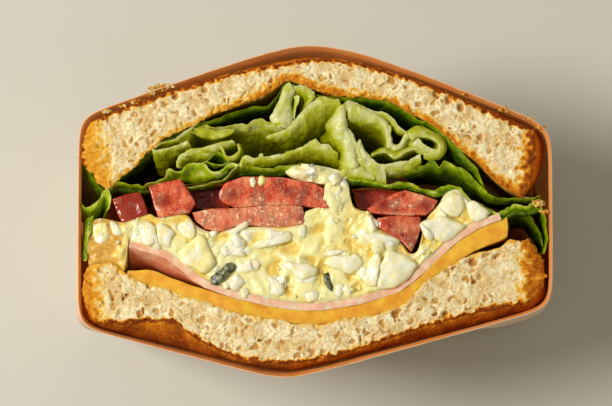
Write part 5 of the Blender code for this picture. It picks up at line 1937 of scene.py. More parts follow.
@dataclass
class EggSalad:
    """Chopped egg in dressing on the ham: a lumpy mass with pieces of white, yolk and pickle."""

    cells: tuple[int, int] = (300, 72)
    knots: int = 160
    heights: tuple[float, ...] = (60, 58.5, 56, 52, 46, 39, 32, 24, 16, 7)
    bulge: Pair = (0.6, 0.6)
    block_size: float = 4.0
    curd_size: float = 2.0
    kept: tuple = ((7, 32, 49, 60), (0.8, 0.98, 1, 1))  # heights, and the share of its width there
    chunk_points: int = 56
    chunk_rings: int = 9
    chunk_soft: float = 0.35
    chunk_sides: Line = ((0.985, 0.45), (1.0, 0.9), (1.0, 1.6), (0.96, 2.6), (0.8, 4.0))
    chunk_end: float = 4.6
    seat_box: tuple = ((-55.5, 42), (-24, 10.5))
    bits: int = 14
    bit_shapes: int = 6
    bit_sizes: Pair = (0.45, 1.7)
    bit_cuts: int = 5
    weld: float = 0.02  # edges of a bit shorter than this close up, before it is scaled
    crumbs: int = 70
    crumb_shapes: int = 4
    crumb_sizes: Pair = (0.22, 0.75)
    seed: int = 23
    pickle_number: int = 80  # where the pickle's own lumps start

    def __post_init__(self) -> None:
        """Works out the salad's edges on the cut."""
        edge = curve(SALAD_TOP, self.knots)
        self.x = np.maximum.accumulate(edge[:, 0]) + np.arange(self.knots) * 1e-3
        self.floor = self.ham_floor(self.x, np.full(self.knots, CUT))
        self.high = np.maximum(edge[:, 1], self.floor + 0.8) + 1.1

    def ham_floor(self, at: Array, z: Array) -> Array:
        """Height in the section of what the salad lies on.

        Args:
            at: Where to read it, along the slices.
            z: Heights over the table.

        Returns:
            A height in the section for each place.
        """
        over_ham = CUTS.ham_top(at, z) + 0.05
        return np.where(at < CUTS.x[0] - 0.6, height_on(LOWER_FACE, at) + 0.15, over_ham)

    def relief(self, points: Array) -> tuple[Array, Array]:
        """How far the mass stands over the cut, and how deep its hollows are, from 0 to 1, for painted
        shade.

        Args:
            points: Points of the cut.

        Returns:
            Both as a number for each point.
        """
        flat = points * [1, 1, 0]
        bent = flat + 0.9 * np.column_stack([GRAIN.smooth(flat, 3), GRAIN.smooth(flat + 60, 3),
                                             np.zeros(len(flat))])
        near, second, number = GRAIN.cells(bent + 15, self.block_size)
        block = ease(second - near, 0.0, 0.45)
        _, gap, curd = GRAIN.cells(bent + 33, self.curd_size)
        stand = 2.0 * (number - 0.4) * block + 0.4 * curd * ease(gap, 0.3, 0.9)
        stand += 0.3 * GRAIN.smooth(bent + 33, 2.6) + 0.6 * GRAIN.smooth(flat, 6) - 0.3
        white = ease(number, 0.5, 0.8) * ease(block, 0.1, 0.8)
        # painted shade: the lower the relief stands, the darker the dressing is painted there; egg white
        # cells are painted lighter
        hollow = 0.4 + 0.75 * ease(stand, 0.0, -0.9) - 0.4 * white
        return stand, 0.8 * np.clip(hollow, 0, 1)

    def mass(self) -> Piece:
        """The lumpy mass that the pieces sit in.

        Returns:
            The mass as one closed object.
        """
        low, high = np.column_stack([self.x, self.floor]), np.column_stack([self.x, self.high])
        slab = Slab("egg_salad", low, high, self.cells, self.heights, self.bulge)
        piece = slab.sheet()
        along, across, level, height = slab.seats(piece)
        share = np.interp(height, *self.kept)
        flat = slab.section(along, 0.5 + (across - 0.5) * share)
        at = flat[:, 0]
        ceiling, floor = np.interp(at, self.x, self.high), np.interp(at, self.x, self.floor)
        part = np.clip((ceiling - flat[:, 1]) / np.maximum(ceiling - floor, 0.1), 0, 1)
        moved = self.ham_floor(at, height) - self.ham_floor(at, np.full(len(at), CUT))
        flat[:, 1] += moved * part
        points = np.column_stack([flat, height])
        stand, hollow = self.relief(points)
        thick = np.interp(at, self.x, self.high - self.floor)
        rim = np.minimum(across, 1 - across) * thick
        on_top = level == 0
        points[:, 2] += np.where(on_top, stand * ease(rim, 0.3, 1.8) - 0.6 * ease(rim, 1.0, 0), 0)
        push = 0.3 * GRAIN.smooth(points, 2.4, 2) * np.sign(across - 0.5)
        points[:, 1] += np.where(on_top, 0, push * ease(height, 60.5, 57))
        place_points(piece, SECTION.settle(points))
        # the left end is given the deepest ochre too
        hollow = np.clip(hollow + 0.7 * ease(at, -45, -50), 0, 1)
        mark(piece, "hollow", np.where(on_top, hollow, 0.4))
        merge(piece)
        return piece

    def surface(self, flat: Array) -> Array:
        """Heights of the mass at points of the cut."""
        return CUT + self.relief(spread(flat))[0]

    def chunk(self, number: int, spec: EggChunk) -> Piece:
        """One larger piece from its outline: a flat cut face, a small round edge, sides.

        Args:
            number: Which chunk it is; each has its own lumps.
            spec: Its outline and form.

        Returns:
            The chunk, closed.
        """
        count, rings = self.chunk_points, self.chunk_rings
        stand = 0.7 * spec.stand
        ring = rounded_ring(VIEW.sight(spec.outline, -stand)[:, :2], count, self.chunk_soft)
        centre = ring[:-1].mean(axis=0)
        edge_yolk = 0.45 * ease(np.linspace(0, 1, rings), 0.6, 1.0)
        rows, buried = [], np.append(edge_yolk, [0.8] * (len(self.chunk_sides) + 1))
        for share in np.linspace(0, 1, rings) ** 0.75:
            flat = centre + (ring - centre) * share * 0.93
            top = CUT + stand - 0.7 * spec.dome * share**2 - 0.22 * share**9
            rows.append(spread(flat, top))
        edge = CUT + stand - spec.dome
        for scale, drop in self.chunk_sides:
            rows.append(spread(centre + (ring - centre) * scale, edge - drop))
        rows.append(spread(np.tile(centre, (count + 1, 1)), edge - self.chunk_end))
        points = np.array(rows).reshape(-1, 3)
        run = points[:, :2] - centre
        fade = ease(points[:, 2], CUT - 2.5, CUT)
        points[:, 2] += (run @ np.array(spec.slope)) * fade
        lump = GRAIN.smooth(points + 5 * number, 2.6, 2)
        points[:, 2] += spec.rough * (0.26 * lump + 0.06 * GRAIN.smooth(points, 0.8)) * fade
        points[:, :2] += run * (0.05 * GRAIN.smooth(points + 3 * number, 1.8))[:, None]
        yolk = spec.yolk * ease(GRAIN.smooth(points + 77, 3.4) + spec.yolk, 0.35, 0.75)
        yolk = np.maximum(yolk, np.repeat(buried, count + 1))
        grid = points.reshape(len(rows), count + 1, 3)
        piece = lay_grid(f"chunk_{number}", grid, {"yolk": yolk})
        merge(piece)
        return piece

    def bit_shape(self, number: int, draw: np.random.Generator) -> Piece:
        """A small cut block of egg white with broken corners.

        Args:
            number: Which bit it is.
            draw: The source of chance.

        Returns:
            The bit, about a unit in radius.
        """
        deselect()
        bpy.ops.mesh.primitive_cube_add(size=2)
        piece = bpy.context.object
        piece.name = f"bit_{number}"
        bpy.ops.object.mode_set(mode="EDIT")
        for _ in range(self.bit_cuts):
            way = Vector(draw.normal(size=3)).normalized()
            bpy.ops.mesh.select_all(action="SELECT")
            bpy.ops.mesh.bisect(plane_co=way * draw.uniform(0.75, 1.0), plane_no=way,
                                use_fill=True, clear_outer=True)
        bpy.ops.mesh.select_all(action="SELECT")
        bpy.ops.mesh.remove_doubles(threshold=self.weld)
        bpy.ops.mesh.bevel(offset=0.16, segments=1, affect="EDGES")
        bpy.ops.mesh.remove_doubles(threshold=self.weld)
        bpy.ops.mesh.normals_make_consistent(inside=False)
        bpy.ops.object.mode_set(mode="OBJECT")
        return piece

    def seats(self, count: int, draw: np.random.Generator) -> Array:
        """Random places on the salad's cut face, a little inside its edge.

        Args:
            count: How many places.
            draw: The source of chance.

        Returns:
            Points in space on the mass.
        """
        found = []
        across, up = self.seat_box
        while len(found) < count:
            x = draw.uniform(*across)
            low, high = np.interp(x, self.x, self.floor), np.interp(x, self.x, self.high)
            y = draw.uniform(*up)
            if low + 0.3 < y < high - 0.3:
                found.append((x, y))
        flat = np.array(found)
        return np.column_stack([flat, self.surface(flat)])

    def build(self) -> None:
        """Makes the mass and everything in it."""
        white = EggFinish(EggPart.WHITE).material()
        dressed = EggFinish(EggPart.DRESSED).material()
        finish_piece(self.mass(), dressed, Slot.EGG, "egg_salad", angle=70)
        chunks = [self.chunk(number, spec) for number, spec in enumerate(EGG_CHUNKS)]
        finish_piece(joined("egg_white_pieces", chunks), white, Slot.EGG, angle=45)
        draw = np.random.default_rng(self.seed)
        shapes = [self.bit_shape(number, draw) for number in range(self.bit_shapes)]
        bits = strewn("egg_white_bits", shapes, self.seats(self.bits, draw), self.bit_sizes, draw)
        mark(bits, "yolk", ease(GRAIN.smooth(points_of(bits), 5.0), 0.1, 0.5) * 0.6)
        finish_piece(bits, white, Slot.EGG, angle=40)
        shapes = [crumb_shape(number) for number in range(self.crumb_shapes)]
        places = self.seats(self.crumbs, draw)
        crumbs = strewn("egg_yolk_crumbs", shapes, places, self.crumb_sizes, draw)
        finish_piece(crumbs, EggFinish(EggPart.YOLK).material(), Slot.EGG, angle=80)
        pickle = [self.chunk(self.pickle_number + number, spec)
                  for number, spec in enumerate(PICKLE_OUTLINES)]
        finish_piece(joined("pickle_pieces", pickle), PickleFinish().material(), Slot.EGG)


# --- lettuce


@dataclass(frozen=True)
class LeafLine:
    """A line of a leaf at a depth below the cut: frame pixels, or millimetres of the section."""

    depth: float
    tone: float  # 0 for white rib, 0.4 for the brightest green, 1 for the darkest; deeper lines are given darker tones, which paint shade
    points: Line
    in_section: bool = False

    def placed(self, count: int) -> Array:
        """The line as evenly spaced points in space.

        Args:
            count: How many points are wanted.

        Returns:
            The points, in millimetres.
        """
        fine = curve(self.points, count)
        if self.in_section:
            return SECTION.settle(spread(fine, CUT - self.depth))
        return VIEW.sight(fine, self.depth)


def at(depth: float, tone: float, *numbers: float) -> LeafLine:
    """A line of a leaf in frame pixels, written as x, y, x, y."""
    return LeafLine(depth, tone, pairs(*numbers))


@dataclass(frozen=True)
class LeafSheet:
    """A leaf as a sheet through two or more lines, from its rim to its root."""

    lines: tuple[LeafLine, ...]
    spots: Line = ()  # pixel x and y, half width and height, and what they add to the tone: patches of painted shade and painted highlight
    thick: float = 0.34
    ruffle: float = 0.25  # waves of the rim, in millimetres
    crinkle: float = 0.22  # blisters between the veins
    ragged: float = 0.22  # how torn the rim is
    columns_per_mm: float = 2.6
    columns: tuple[int, int] = (30, 220)  # least and most
    rows_per_line: int = 9
    seed_step: float = 13.7
    patterns: tuple = ((4.5, 1, 1), (2.2, 1, 0.5), (2.4, 2, 1), (1.1, 2, 1))  # size, octaves, squeeze

    def build(self, number: int) -> Piece:
        """Makes the sheet with its waves, blisters and thickness.

        Args:
            number: Which sheet it is; each has its own waves.

        Returns:
            The sheet as a closed object.
        """
        length = max(np.ptp(line.placed(30), axis=0).max() for line in self.lines)
        along = int(np.clip(length * self.columns_per_mm, *self.columns))
        down = self.rows_per_line * (len(self.lines) - 1)
        lines = np.array([line.placed(along + 1) for line in self.lines])
        stops = np.linspace(0, len(lines) - 1, down + 1)
        grid = np.stack([curve_at(lines[:, k], stops) for k in range(along + 1)], axis=1)
        tones = np.interp(stops, range(len(lines)), [line.tone for line in self.lines])
        share = stops[:, None] / stops[-1]
        down_way, along_way = np.gradient(grid, axis=0), np.gradient(grid, axis=1)
        across = np.cross(along_way, down_way)
        normal = across / np.maximum(np.linalg.norm(across, axis=2, keepdims=True), 1e-9)
        inward = down_way / np.maximum(np.linalg.norm(down_way, axis=2, keepdims=True), 1e-9)
        flat = grid.reshape(-1, 3) + self.seed_step * number
        wave, curl, blister, tear = (
            GRAIN.smooth(flat * [1, 1, squeeze], size, octaves).reshape(grid.shape[:2])
            for size, octaves, squeeze in self.patterns
        )
        rim = np.exp(-share * 4)
        stand = self.ruffle * (wave + 0.4 * curl) * rim + self.crinkle * blister
        grid = grid + normal * stand[..., None]
        grid += inward * (self.ragged * tear * np.exp(-share * 10))[..., None]
        # painted shade: tone follows the lines, darker deeper down; waves and blisters shift it, and the
        # rim is a little paler
        tone = tones[:, None] + 0.10 * wave - 0.10 * blister - 0.08 * np.exp(-share * 12)
        pixels = VIEW.pixels_of(grid.reshape(-1, 3))
        # painted shade and painted highlight: patches of the frame made darker or lighter
        for x, y, wide, high, change in self.spots:
            gap = np.hypot((pixels[:, 0] - x) / wide, (pixels[:, 1] - y) / high)
            tone = tone + (change * ease(gap, 1.3, 0.4)).reshape(tone.shape)
        piece = lay_grid(f"leaf_{number}", grid, {"tone": np.clip(tone, 0, 1)})
        thicken(piece, self.thick, shares=0.35 + 0.65 * ease(stops, 0.0, 0.6))
        merge(piece)
        return piece


def curve_at(knots: Array, stops: Array) -> Array:
    """Points of the smooth curve through knots at the given knot numbers.

    Args:
        knots: The points that the curve goes through.
        stops: Knot numbers, with fractions between two knots.

    Returns:
        A point for each stop.
    """
    run = np.vstack([2 * knots[0] - knots[1], knots, 2 * knots[-1] - knots[-2]])
    start = np.minimum(stops.astype(int), len(knots) - 2)
    t = (stops - start)[:, None]
    a, b, c, d = (run[start + k] for k in range(4))
    bend = (2 * a - 5 * b + 4 * c - d) * t**2 + (3 * b - a - 3 * c + d) * t**3
    return (2 * b + (c - a) * t + bend) / 2


@dataclass(frozen=True)
class Leaf:
    """One leaf: the CAD node it stands for, its kind, and the sheets it is made of."""

    node: str
    kind: LeafKind
    sheets: tuple[LeafSheet, ...]


LETTUCE = (
    Leaf("leaf_outer", LeafKind.GREEN, (LeafSheet((
        at(0.9, 0.42, 110, 184, 118, 178.5, 130, 168.5, 142, 158.5, 152, 150, 166, 139.5, 186, 130,
            203, 123, 215, 119.5, 230, 113.5, 245, 109.5, 255, 106.5, 262, 106.5, 268, 105.5, 273, 101,
            277, 95, 281, 88, 285, 82.5, 291, 80, 297, 80.5, 304, 86, 312, 91.5, 320, 95, 332, 97,
            345, 98, 356, 97.5, 368, 97.5, 378, 99.5, 388, 102, 398, 106, 408, 111, 414, 116, 420, 120.5,
            430, 122.5, 437, 127.5, 445, 135, 452, 142, 460, 148, 466, 156, 471, 162, 477, 168, 480, 176,
            484, 184, 487, 192),
        at(3.5, 0.66, 116, 186, 123, 180.5, 135, 171, 147, 162, 157, 154, 170, 144, 189, 134.5,
            206, 127.5, 218, 124, 233, 119, 247, 114.5, 257, 111.5, 264, 111, 270, 109, 275, 104.5,
            279, 98.5, 283, 92, 287, 87.5, 292, 85.5, 298, 86.5, 305, 91, 313, 96, 321, 100, 333, 102,
            346, 103, 357, 103, 369, 103.5, 378.5, 105.5, 387.5, 108, 396, 112, 405, 117, 411, 121.5,
            417, 125.5, 425.5, 128, 432, 133, 440, 141, 446.5, 148.5, 454, 155, 460, 162.5, 465, 168.5,
            471, 174.5, 475, 181, 479, 188, 483, 195),
        at(14, 0.92, 126, 190, 134, 185, 145, 178, 155, 170, 163, 162, 175, 154, 193, 146, 210, 139,
            222, 135, 236, 131, 250, 127, 260, 124, 268, 121, 275, 117, 280, 111, 284, 105, 288, 99,
            292, 96, 296, 95, 301, 97, 308, 101, 316, 105, 323, 109, 334, 112, 347, 114, 357, 115,
            367, 117, 376, 119, 384, 123, 392, 127, 400, 132, 407, 136, 413, 139, 420, 142, 427, 147,
            435, 155, 441, 162, 448, 169, 454, 175, 459, 181, 465, 187, 470, 192, 475, 197, 480, 200),
    )), LeafSheet((
        at(0.3, 0.3, 474, 180, 478, 182, 481, 186, 484, 190.5, 489, 194, 495, 197),
        at(1.6, 0.5, 471, 184, 475, 187, 479, 191, 483, 195, 488, 198, 494, 200),
    )))),
    Leaf("leaf_wide", LeafKind.PALE, (LeafSheet((
        at(0.5, 0.24, 191, 129, 198, 128, 204, 124, 208, 125, 212, 127, 220, 127, 230, 125, 240, 123.5,
            247, 124, 252, 120, 258, 118.5, 263, 118.5, 266, 122, 271, 122, 278, 124, 286, 127, 296, 127),
        at(2.2, 0.26, 192, 133, 199, 132, 205, 130, 212, 131, 220, 131.5, 230, 130.5, 240, 130, 248, 130,
            254, 128.5, 260, 128, 266, 129, 272, 129, 280, 130, 290, 131, 300, 131),
        at(5.5, 0.55, 193, 140, 200, 139.5, 207, 139, 213, 139, 221, 139.5, 231, 138.5, 241, 138,
            249, 138, 256, 138, 262, 138, 268, 139, 275, 140, 283, 141, 292, 142, 301, 142),
        at(9, 0.74, 193, 148, 205, 148, 220, 148, 235, 148, 250, 148, 265, 148.5, 280, 149, 300, 150),
        at(13, 0.9, 190, 164, 205, 164, 220, 164, 235, 164, 250, 163, 265, 163, 280, 163, 300, 163),
    )), LeafSheet((
        at(0.9, 0.35, 189, 129.5, 196, 129.5, 203, 127, 210, 129.5, 218, 130, 226, 129, 235, 128.5),
        at(0.2, 0.36, 190, 131, 197, 133, 204, 134, 211, 135.5, 218, 135.5, 226, 133.5, 234, 130.5),
        at(0.3, 0.5, 191, 132, 197, 135, 204, 137, 211, 138.3, 218, 138.3, 226, 136, 233, 132.5),
        at(2.2, 0.8, 192, 133, 198, 136, 205, 138.3, 212, 139.8, 219, 139.8, 227, 137.5, 234, 134),
    )), LeafSheet((
        at(0.1, 0.12, 200.5, 118.5, 196, 122, 192, 126.5, 188, 129.5, 182, 133, 176, 137.5, 170, 140,
            164, 141.5, 158, 144, 153, 147.5),
        at(0.7, 0.4, 199, 121, 195.5, 125, 192, 129.5, 188.5, 133, 183.5, 136.5, 178, 140, 172, 142,
            166, 143.5, 160, 145.5, 155, 148),
        at(2.4, 0.52, 197, 128, 195, 132, 193, 136, 190.5, 140, 187, 143, 182, 144.5, 176, 145, 170, 146,
            164, 147.5, 158, 149),
        at(6, 0.8, 198, 137, 197, 142, 195, 146, 192, 149, 188, 151, 183, 152, 177, 152, 171, 152,
            165, 152, 160, 152),
    )))),
    Leaf("leaf_inner", LeafKind.PALE, (LeafSheet((
        at(13, 0.8, 270, 104, 292, 102, 308, 104, 326, 108, 345, 112, 366, 118, 386, 126, 404, 134,
            430, 142),
        at(17, 0.92, 270, 135, 300, 136, 325, 138, 350, 142, 375, 146, 400, 148, 432, 152),
        at(20, 1.0, 270, 168, 300, 170, 325, 172, 350, 174, 375, 174, 400, 172, 432, 168),
    )),)),
    Leaf("leaf_fold", LeafKind.PALE, (LeafSheet((
        at(0.1, 0.14, 151.5, 148, 154, 149.8, 157, 150, 163, 148.8, 168, 147.2, 174, 145.3, 180, 143.3,
            187, 140.5),
        at(0.6, 0.36, 152.5, 152, 156, 154, 160, 153.5, 166, 151.5, 172, 150, 178, 148.5, 184, 146.5,
            190, 144),
        at(2.2, 0.5, 154, 158, 157, 160, 162, 159.5, 168, 157, 174, 155, 180, 153, 186, 150.5, 192, 148),
        at(4.5, 0.66, 156, 165, 159, 167, 163, 167, 168, 165, 173, 162, 178, 158, 184, 154, 191, 150.5),
        at(8, 0.85, 158, 173, 161, 175, 165, 176, 169, 175, 173, 172, 178, 167, 184, 161, 191, 155),
    )),)),
    Leaf("leaf_curl", LeafKind.PALE, (LeafSheet((
        at(0.2, 0.3, 177, 167.5, 175.7, 163, 176.5, 159, 180, 155, 184, 152.5, 188, 149.5, 192, 148,
            200, 147.5, 206, 146.5, 212, 144.5, 218, 142.5, 225, 141, 232, 139.5),
        at(0.3, 0.14, 179.5, 168, 178.3, 163.8, 179.5, 160, 183, 157, 187, 154.5, 191, 152.5, 195, 151,
            202, 150, 208, 149.5, 214, 147.5, 220, 145.5, 227, 143.3, 234, 141.5),
        at(1.3, 0.42, 182, 168.5, 182, 165.5, 184, 162.5, 187.5, 160, 191, 158.5, 195, 157.5, 200, 157,
            206, 157, 211, 155.5, 216, 152, 222, 149.5, 229, 147, 236, 144.5),
        at(3.6, 0.56, 184, 169, 185.5, 168, 188, 166, 191.5, 164.5, 195, 163.8, 200, 163.3, 205, 162.5,
            209, 160.5, 213, 157, 218, 154, 224, 152, 231, 150, 237, 148),
        at(7, 0.8, 185, 172, 188, 171, 192, 170, 197, 169, 203, 168, 208, 166, 213, 162, 218, 159,
            225, 157, 232, 155, 238, 152),
    ), spots=((188, 156.5, 3.5, 1.2, 0.5), (206, 151, 6, 2.2, 0.3), (207, 154.5, 7, 1.2, -0.15))
    ), LeafSheet((
        at(0.1, 0.24, 218.5, 143, 222, 146.5, 224.5, 151, 226.5, 155, 230, 155.8, 234, 153.8,
            237.2, 151.5, 238.2, 148, 237, 143.5),
        at(0.4, 0.4, 218.5, 146, 221.5, 149.5, 223.5, 154, 226, 158, 231, 160, 236, 158, 240, 154,
            241, 149, 239, 143.8),
        at(2.6, 0.66, 219, 149, 221.5, 153, 223.5, 157, 226, 161, 231, 164, 237.5, 162, 242.5, 157,
            243.5, 150, 241, 144.5),
    )))),
    Leaf("leaf_frill", LeafKind.GREEN, (LeafSheet((
        at(0.4, 0.16, 155, 182, 160, 178.5, 164, 178, 165.5, 175, 166, 171, 168, 168.5, 171, 168,
            174, 170, 178, 171.5, 182, 169.5, 184, 166, 190, 163, 197, 163, 204, 163.5, 207, 167.5,
            211, 170.5, 217, 171, 221, 169.5, 226, 168),
        at(1.1, 0.36, 160, 182.5, 164, 180.5, 167, 179.5, 168, 177, 169.5, 174, 172, 172, 175, 172.5,
            179, 174, 183, 174, 187, 171.5, 192, 169, 198, 168.5, 204, 170, 208, 172.5, 213, 174,
            218, 174.5, 223, 173.5, 228, 171),
        at(3, 0.36, 166, 184, 170, 182.5, 174, 181, 178, 180, 182, 180, 187, 180.5, 192, 181, 198, 181,
            204, 180.5, 210, 180, 216, 179, 221, 178, 225, 176.5, 229, 174.5),
        at(7, 0.7, 172, 189, 180, 189, 188, 189.5, 196, 188.5, 204, 186.5, 212, 184.5, 219, 182,
            226, 179),
    ), spots=((211, 172.5, 17, 6.5, -0.22), (196, 174, 10, 5, -0.12)), ruffle=0.4), LeafSheet((
        at(0.2, 0.14, 219.5, 171.5, 224, 167, 228, 164, 232, 163, 237, 164, 242.5, 161),
        at(0.8, 0.3, 222, 173, 226, 169.5, 230, 167.5, 234, 167, 238, 167, 243, 165),
        at(3, 0.7, 223, 176, 227, 173, 231, 171, 235, 170, 239, 169, 244, 168),
    )), LeafSheet((
        at(0.3, 0.08, 221.5, 179.5, 226, 176, 230, 172.5, 233, 169.5, 238, 166),
        at(1.6, 0.5, 224, 181, 228, 178, 232, 174.5, 236, 171, 240, 168),
    )), LeafSheet((
        at(0.3, 0.26, 203, 163, 207, 159.5, 210, 157, 213, 154, 217, 152, 220, 152.3, 223, 155,
            226, 158.5, 229.5, 162.5),
        at(1.6, 0.6, 205, 163.5, 209, 160.5, 212, 158.5, 215, 156.5, 218, 156, 221, 157.5, 224, 160,
            228, 163),
        at(4, 0.8, 206, 164.5, 210, 164, 214, 163.5, 218, 163.5, 222, 164, 226, 164.5),
    )), LeafSheet((
        at(0.5, 0.24, 202, 162.8, 206, 161.3, 210, 162.3, 214, 163.6, 219, 164, 224, 163.2, 229, 161.5),
        at(1.4, 0.45, 203, 164.5, 206, 163.5, 210, 164.5, 214, 165.8, 219, 166, 224, 165.2, 228, 164),
        at(4, 0.78, 204, 169, 207, 170, 211, 170.5, 215, 171, 219, 171, 223, 169.5, 227, 167),
    )))),
    Leaf("leaf_core_tip", LeafKind.PALE, (LeafSheet((
        at(0.7, 0.14, 290, 82, 286, 84, 282.5, 88, 281, 93, 280, 98, 277.5, 103, 274.5, 108, 272, 113,
            270.3, 118, 271, 122, 274.5, 126),
        at(0, 0.08, 291, 84, 288, 87, 285.5, 91, 284.5, 96, 283, 101, 281, 106, 279, 111, 277.5, 116,
            277, 120, 278, 124, 280, 126.5),
        at(0.2, 0.12, 293, 88, 291, 91, 289.5, 94, 288.5, 98, 287.5, 102, 287.5, 107, 287, 112,
            286.5, 117, 286, 121, 285, 124.5, 284, 127.5),
        at(0.9, 0.24, 294, 92, 292.5, 94, 291, 96.5, 290.3, 99.5, 290, 103, 291, 108, 292.5, 112,
            292.8, 117, 292, 121, 290, 124.5, 287, 127.5),
        at(3.4, 0.7, 296, 95, 294.5, 97, 293, 99, 292.5, 101, 292.5, 104, 293, 108, 294.5, 112, 295, 117,
            294, 121, 292, 125, 288, 129),
    ), spots=((289, 88, 4.5, 4.5, 0.18), (278, 124, 3, 1.6, 0.4)),
        thick=0.6, ruffle=0.2, crinkle=0.3, ragged=0.3), LeafSheet((
        at(0.4, 0.14, 289.5, 82, 295, 85, 300, 84, 305, 85.5, 310, 87.5, 313.5, 90.5, 315.5, 95, 313, 99,
            309, 103),
        at(0.4, 0.3, 291, 87, 295, 89, 299, 88.8, 303, 90, 307, 92, 310, 94.5, 311, 98, 309, 101.5,
            306, 105),
        at(1.6, 0.5, 292, 92, 295, 93.5, 298, 93.5, 301, 94.5, 304, 96.5, 306, 99, 306.5, 102, 305, 105,
            303, 108.5),
        at(5.5, 0.85, 293, 100, 295, 101, 297, 102, 299, 103.5, 300, 105.5, 300.5, 108, 300.5, 111,
            298.5, 115, 295.5, 119),
    ), thick=0.6, ruffle=0.2, crinkle=0.3, ragged=0.3), LeafSheet((
        at(0.3, 0.1, 297, 94.5, 299, 96.5, 298.5, 101, 297.2, 106, 296, 111, 294.5, 118.5),
        at(1, 0.36, 293.5, 95.5, 294.5, 99, 294.5, 103, 294, 108, 293.8, 113, 293.7, 118.5),
    )))),
    Leaf("leaf_core_blade", LeafKind.PALE, (LeafSheet((
        at(0.4, 0.14, 266, 137.5, 269, 135, 274, 133.5, 280, 131, 286, 128.5, 291, 124, 295, 119,
            299, 114, 303, 109.5, 309, 104, 315, 98.5, 321, 95.5, 329, 97.5, 339, 99),
        at(0.6, 0.3, 266.3, 138.3, 270, 137.3, 276, 136.5, 282, 135, 288, 132.5, 294, 129, 299, 124.5,
            304, 119, 309, 114, 315, 109.5, 321, 106, 327, 104.5, 333, 104.5, 341, 105),
        at(1.8, 0.42, 266.7, 139, 271, 139.5, 277, 139.5, 283, 139, 289, 137.5, 295, 134.5, 301, 131,
            307, 127, 312, 122.5, 317, 118, 322, 114, 327, 112, 333, 111, 340, 111),
        at(4, 0.58, 267.2, 139.7, 272, 141.5, 278, 142.5, 284, 144, 290, 143.5, 297, 141.5, 303, 138.5,
            309, 134.5, 315, 130, 320, 126, 325, 122, 329, 119, 333, 117, 339, 117),
        at(8, 0.78, 268, 140.3, 274, 143.5, 281, 148, 287, 152, 293, 153, 299, 151.5, 306, 148, 313, 144,
            319, 140, 325, 134, 330, 128, 334, 124, 337, 122, 341, 121),
    ), spots=((318, 97, 6, 4, 0.2), (310, 120, 14, 7, -0.06)),
        thick=0.6, ruffle=0.25, crinkle=0.35, ragged=0.3),)),
    Leaf("leaf_wedge", LeafKind.PALE, (LeafSheet((
        at(0.2, 0.2, 239, 166.5, 241, 160.5, 243, 157.5, 248, 155.5, 253, 157.8, 257, 157.5, 259.5, 154,
            262, 152.7, 262, 156.5, 268, 156, 275, 155, 281, 153.5, 287, 151.5, 293, 150, 299, 148,
            305, 144, 309, 141.5, 313, 140, 315.5, 138.3, 319, 142, 322, 144, 327, 144, 331, 146,
            333, 149, 337, 152),
        at(0.5, 0.34, 241, 167.5, 243.5, 163, 246, 161, 250, 160.5, 254, 161.5, 258, 161.3, 261, 160,
            263, 159.5, 264, 160, 270, 160, 277, 159, 283, 157.5, 289, 155.5, 295, 153, 301, 151,
            306, 149.5, 311, 148.5, 314, 147.5, 317, 148, 320, 149, 324, 150, 328, 150.8, 332, 151.3,
            334, 152, 338, 153.5),
        at(2, 0.5, 243, 168, 247, 166.5, 251, 166, 256, 166.3, 261, 166, 265, 165.5, 271, 164.8,
            278, 163.2, 284, 161.2, 290, 159, 296, 157, 302, 155.8, 308, 155.3, 314, 155.2, 320, 155.6,
            326, 156.3, 332, 157.3, 338, 158.5),
        at(5, 0.76, 244, 170, 250, 170.5, 257, 170.5, 264, 170, 271, 169, 279, 167, 287, 165, 295, 163.5,
            303, 162.5, 311, 162.5, 319, 163, 327, 164.5, 334, 166.5, 340, 169),
    ), spots=((318, 145, 20, 5, -0.16), (278, 155.5, 11, 2.6, -0.16), (248, 160, 4, 3, -0.1)), thick=0.5,
        ruffle=0.25, crinkle=0.25, ragged=0.3),)),
    Leaf("leaf_rib", LeafKind.PALE, (LeafSheet((
        at(0.4, 0.1, 346, 101, 346.5, 108, 346, 115, 347, 122, 349, 128, 351, 133, 353.5, 138, 355, 143,
            356, 148, 357, 154, 358, 160, 359, 167),
        at(0.1, 0.08, 342, 104.5, 342, 110, 341.5, 116, 342, 122, 343.5, 128, 345.5, 133, 348, 139,
            349.5, 145, 350.5, 150, 351.5, 156, 352.5, 161, 354, 168),
        at(0.8, 0.18, 339, 107, 337, 112, 335.5, 118, 335, 124, 336, 130, 338, 135, 341, 141, 343.5, 147,
            345.5, 153, 347, 158, 348, 163, 349, 169),
        at(2.6, 0.42, 338, 109, 334, 114, 331, 119, 328.5, 124, 330, 130, 331, 135, 333.5, 141, 336, 147,
            338.5, 153, 340.5, 159, 342, 164, 343, 170),
        at(6.5, 0.7, 337, 110, 332, 115, 328, 120, 325, 124.5, 327.5, 130, 323, 135, 321, 139.5, 325, 147,
            329, 154, 332, 160, 335, 166, 337, 172),
    ), spots=((334, 120, 8, 6, -0.2), (327, 127, 5, 5, -0.25), (341, 150, 4, 14, 0.1)),
        thick=0.7, ruffle=0.2, crinkle=0.35, ragged=0.45), LeafSheet((
        at(0.1, 0.02, 350.5, 130, 353, 132.5, 355, 139, 357.5, 143, 360, 139, 362, 144, 364, 149,
            367, 152.5, 370, 155, 373, 159.5, 378, 163, 385, 164.5),
        at(0.3, 0.07, 351.5, 137, 354, 141, 356, 145, 358.5, 148, 360.5, 150, 362.5, 153, 365, 157,
            367.5, 160, 370, 163, 373, 166.5, 378, 169, 385, 170),
        at(0.7, 0.2, 352, 150, 354, 154, 356, 157, 358, 160, 360, 162, 362, 165, 364.5, 168, 367, 171,
            370, 174, 374, 177, 379, 179, 386, 180),
        at(2.2, 0.46, 351, 169, 353, 171, 356, 173, 358, 175, 360, 176.5, 362, 178, 364.5, 179.5,
            367, 181, 371, 183, 376, 185, 381, 186.5, 387, 187),
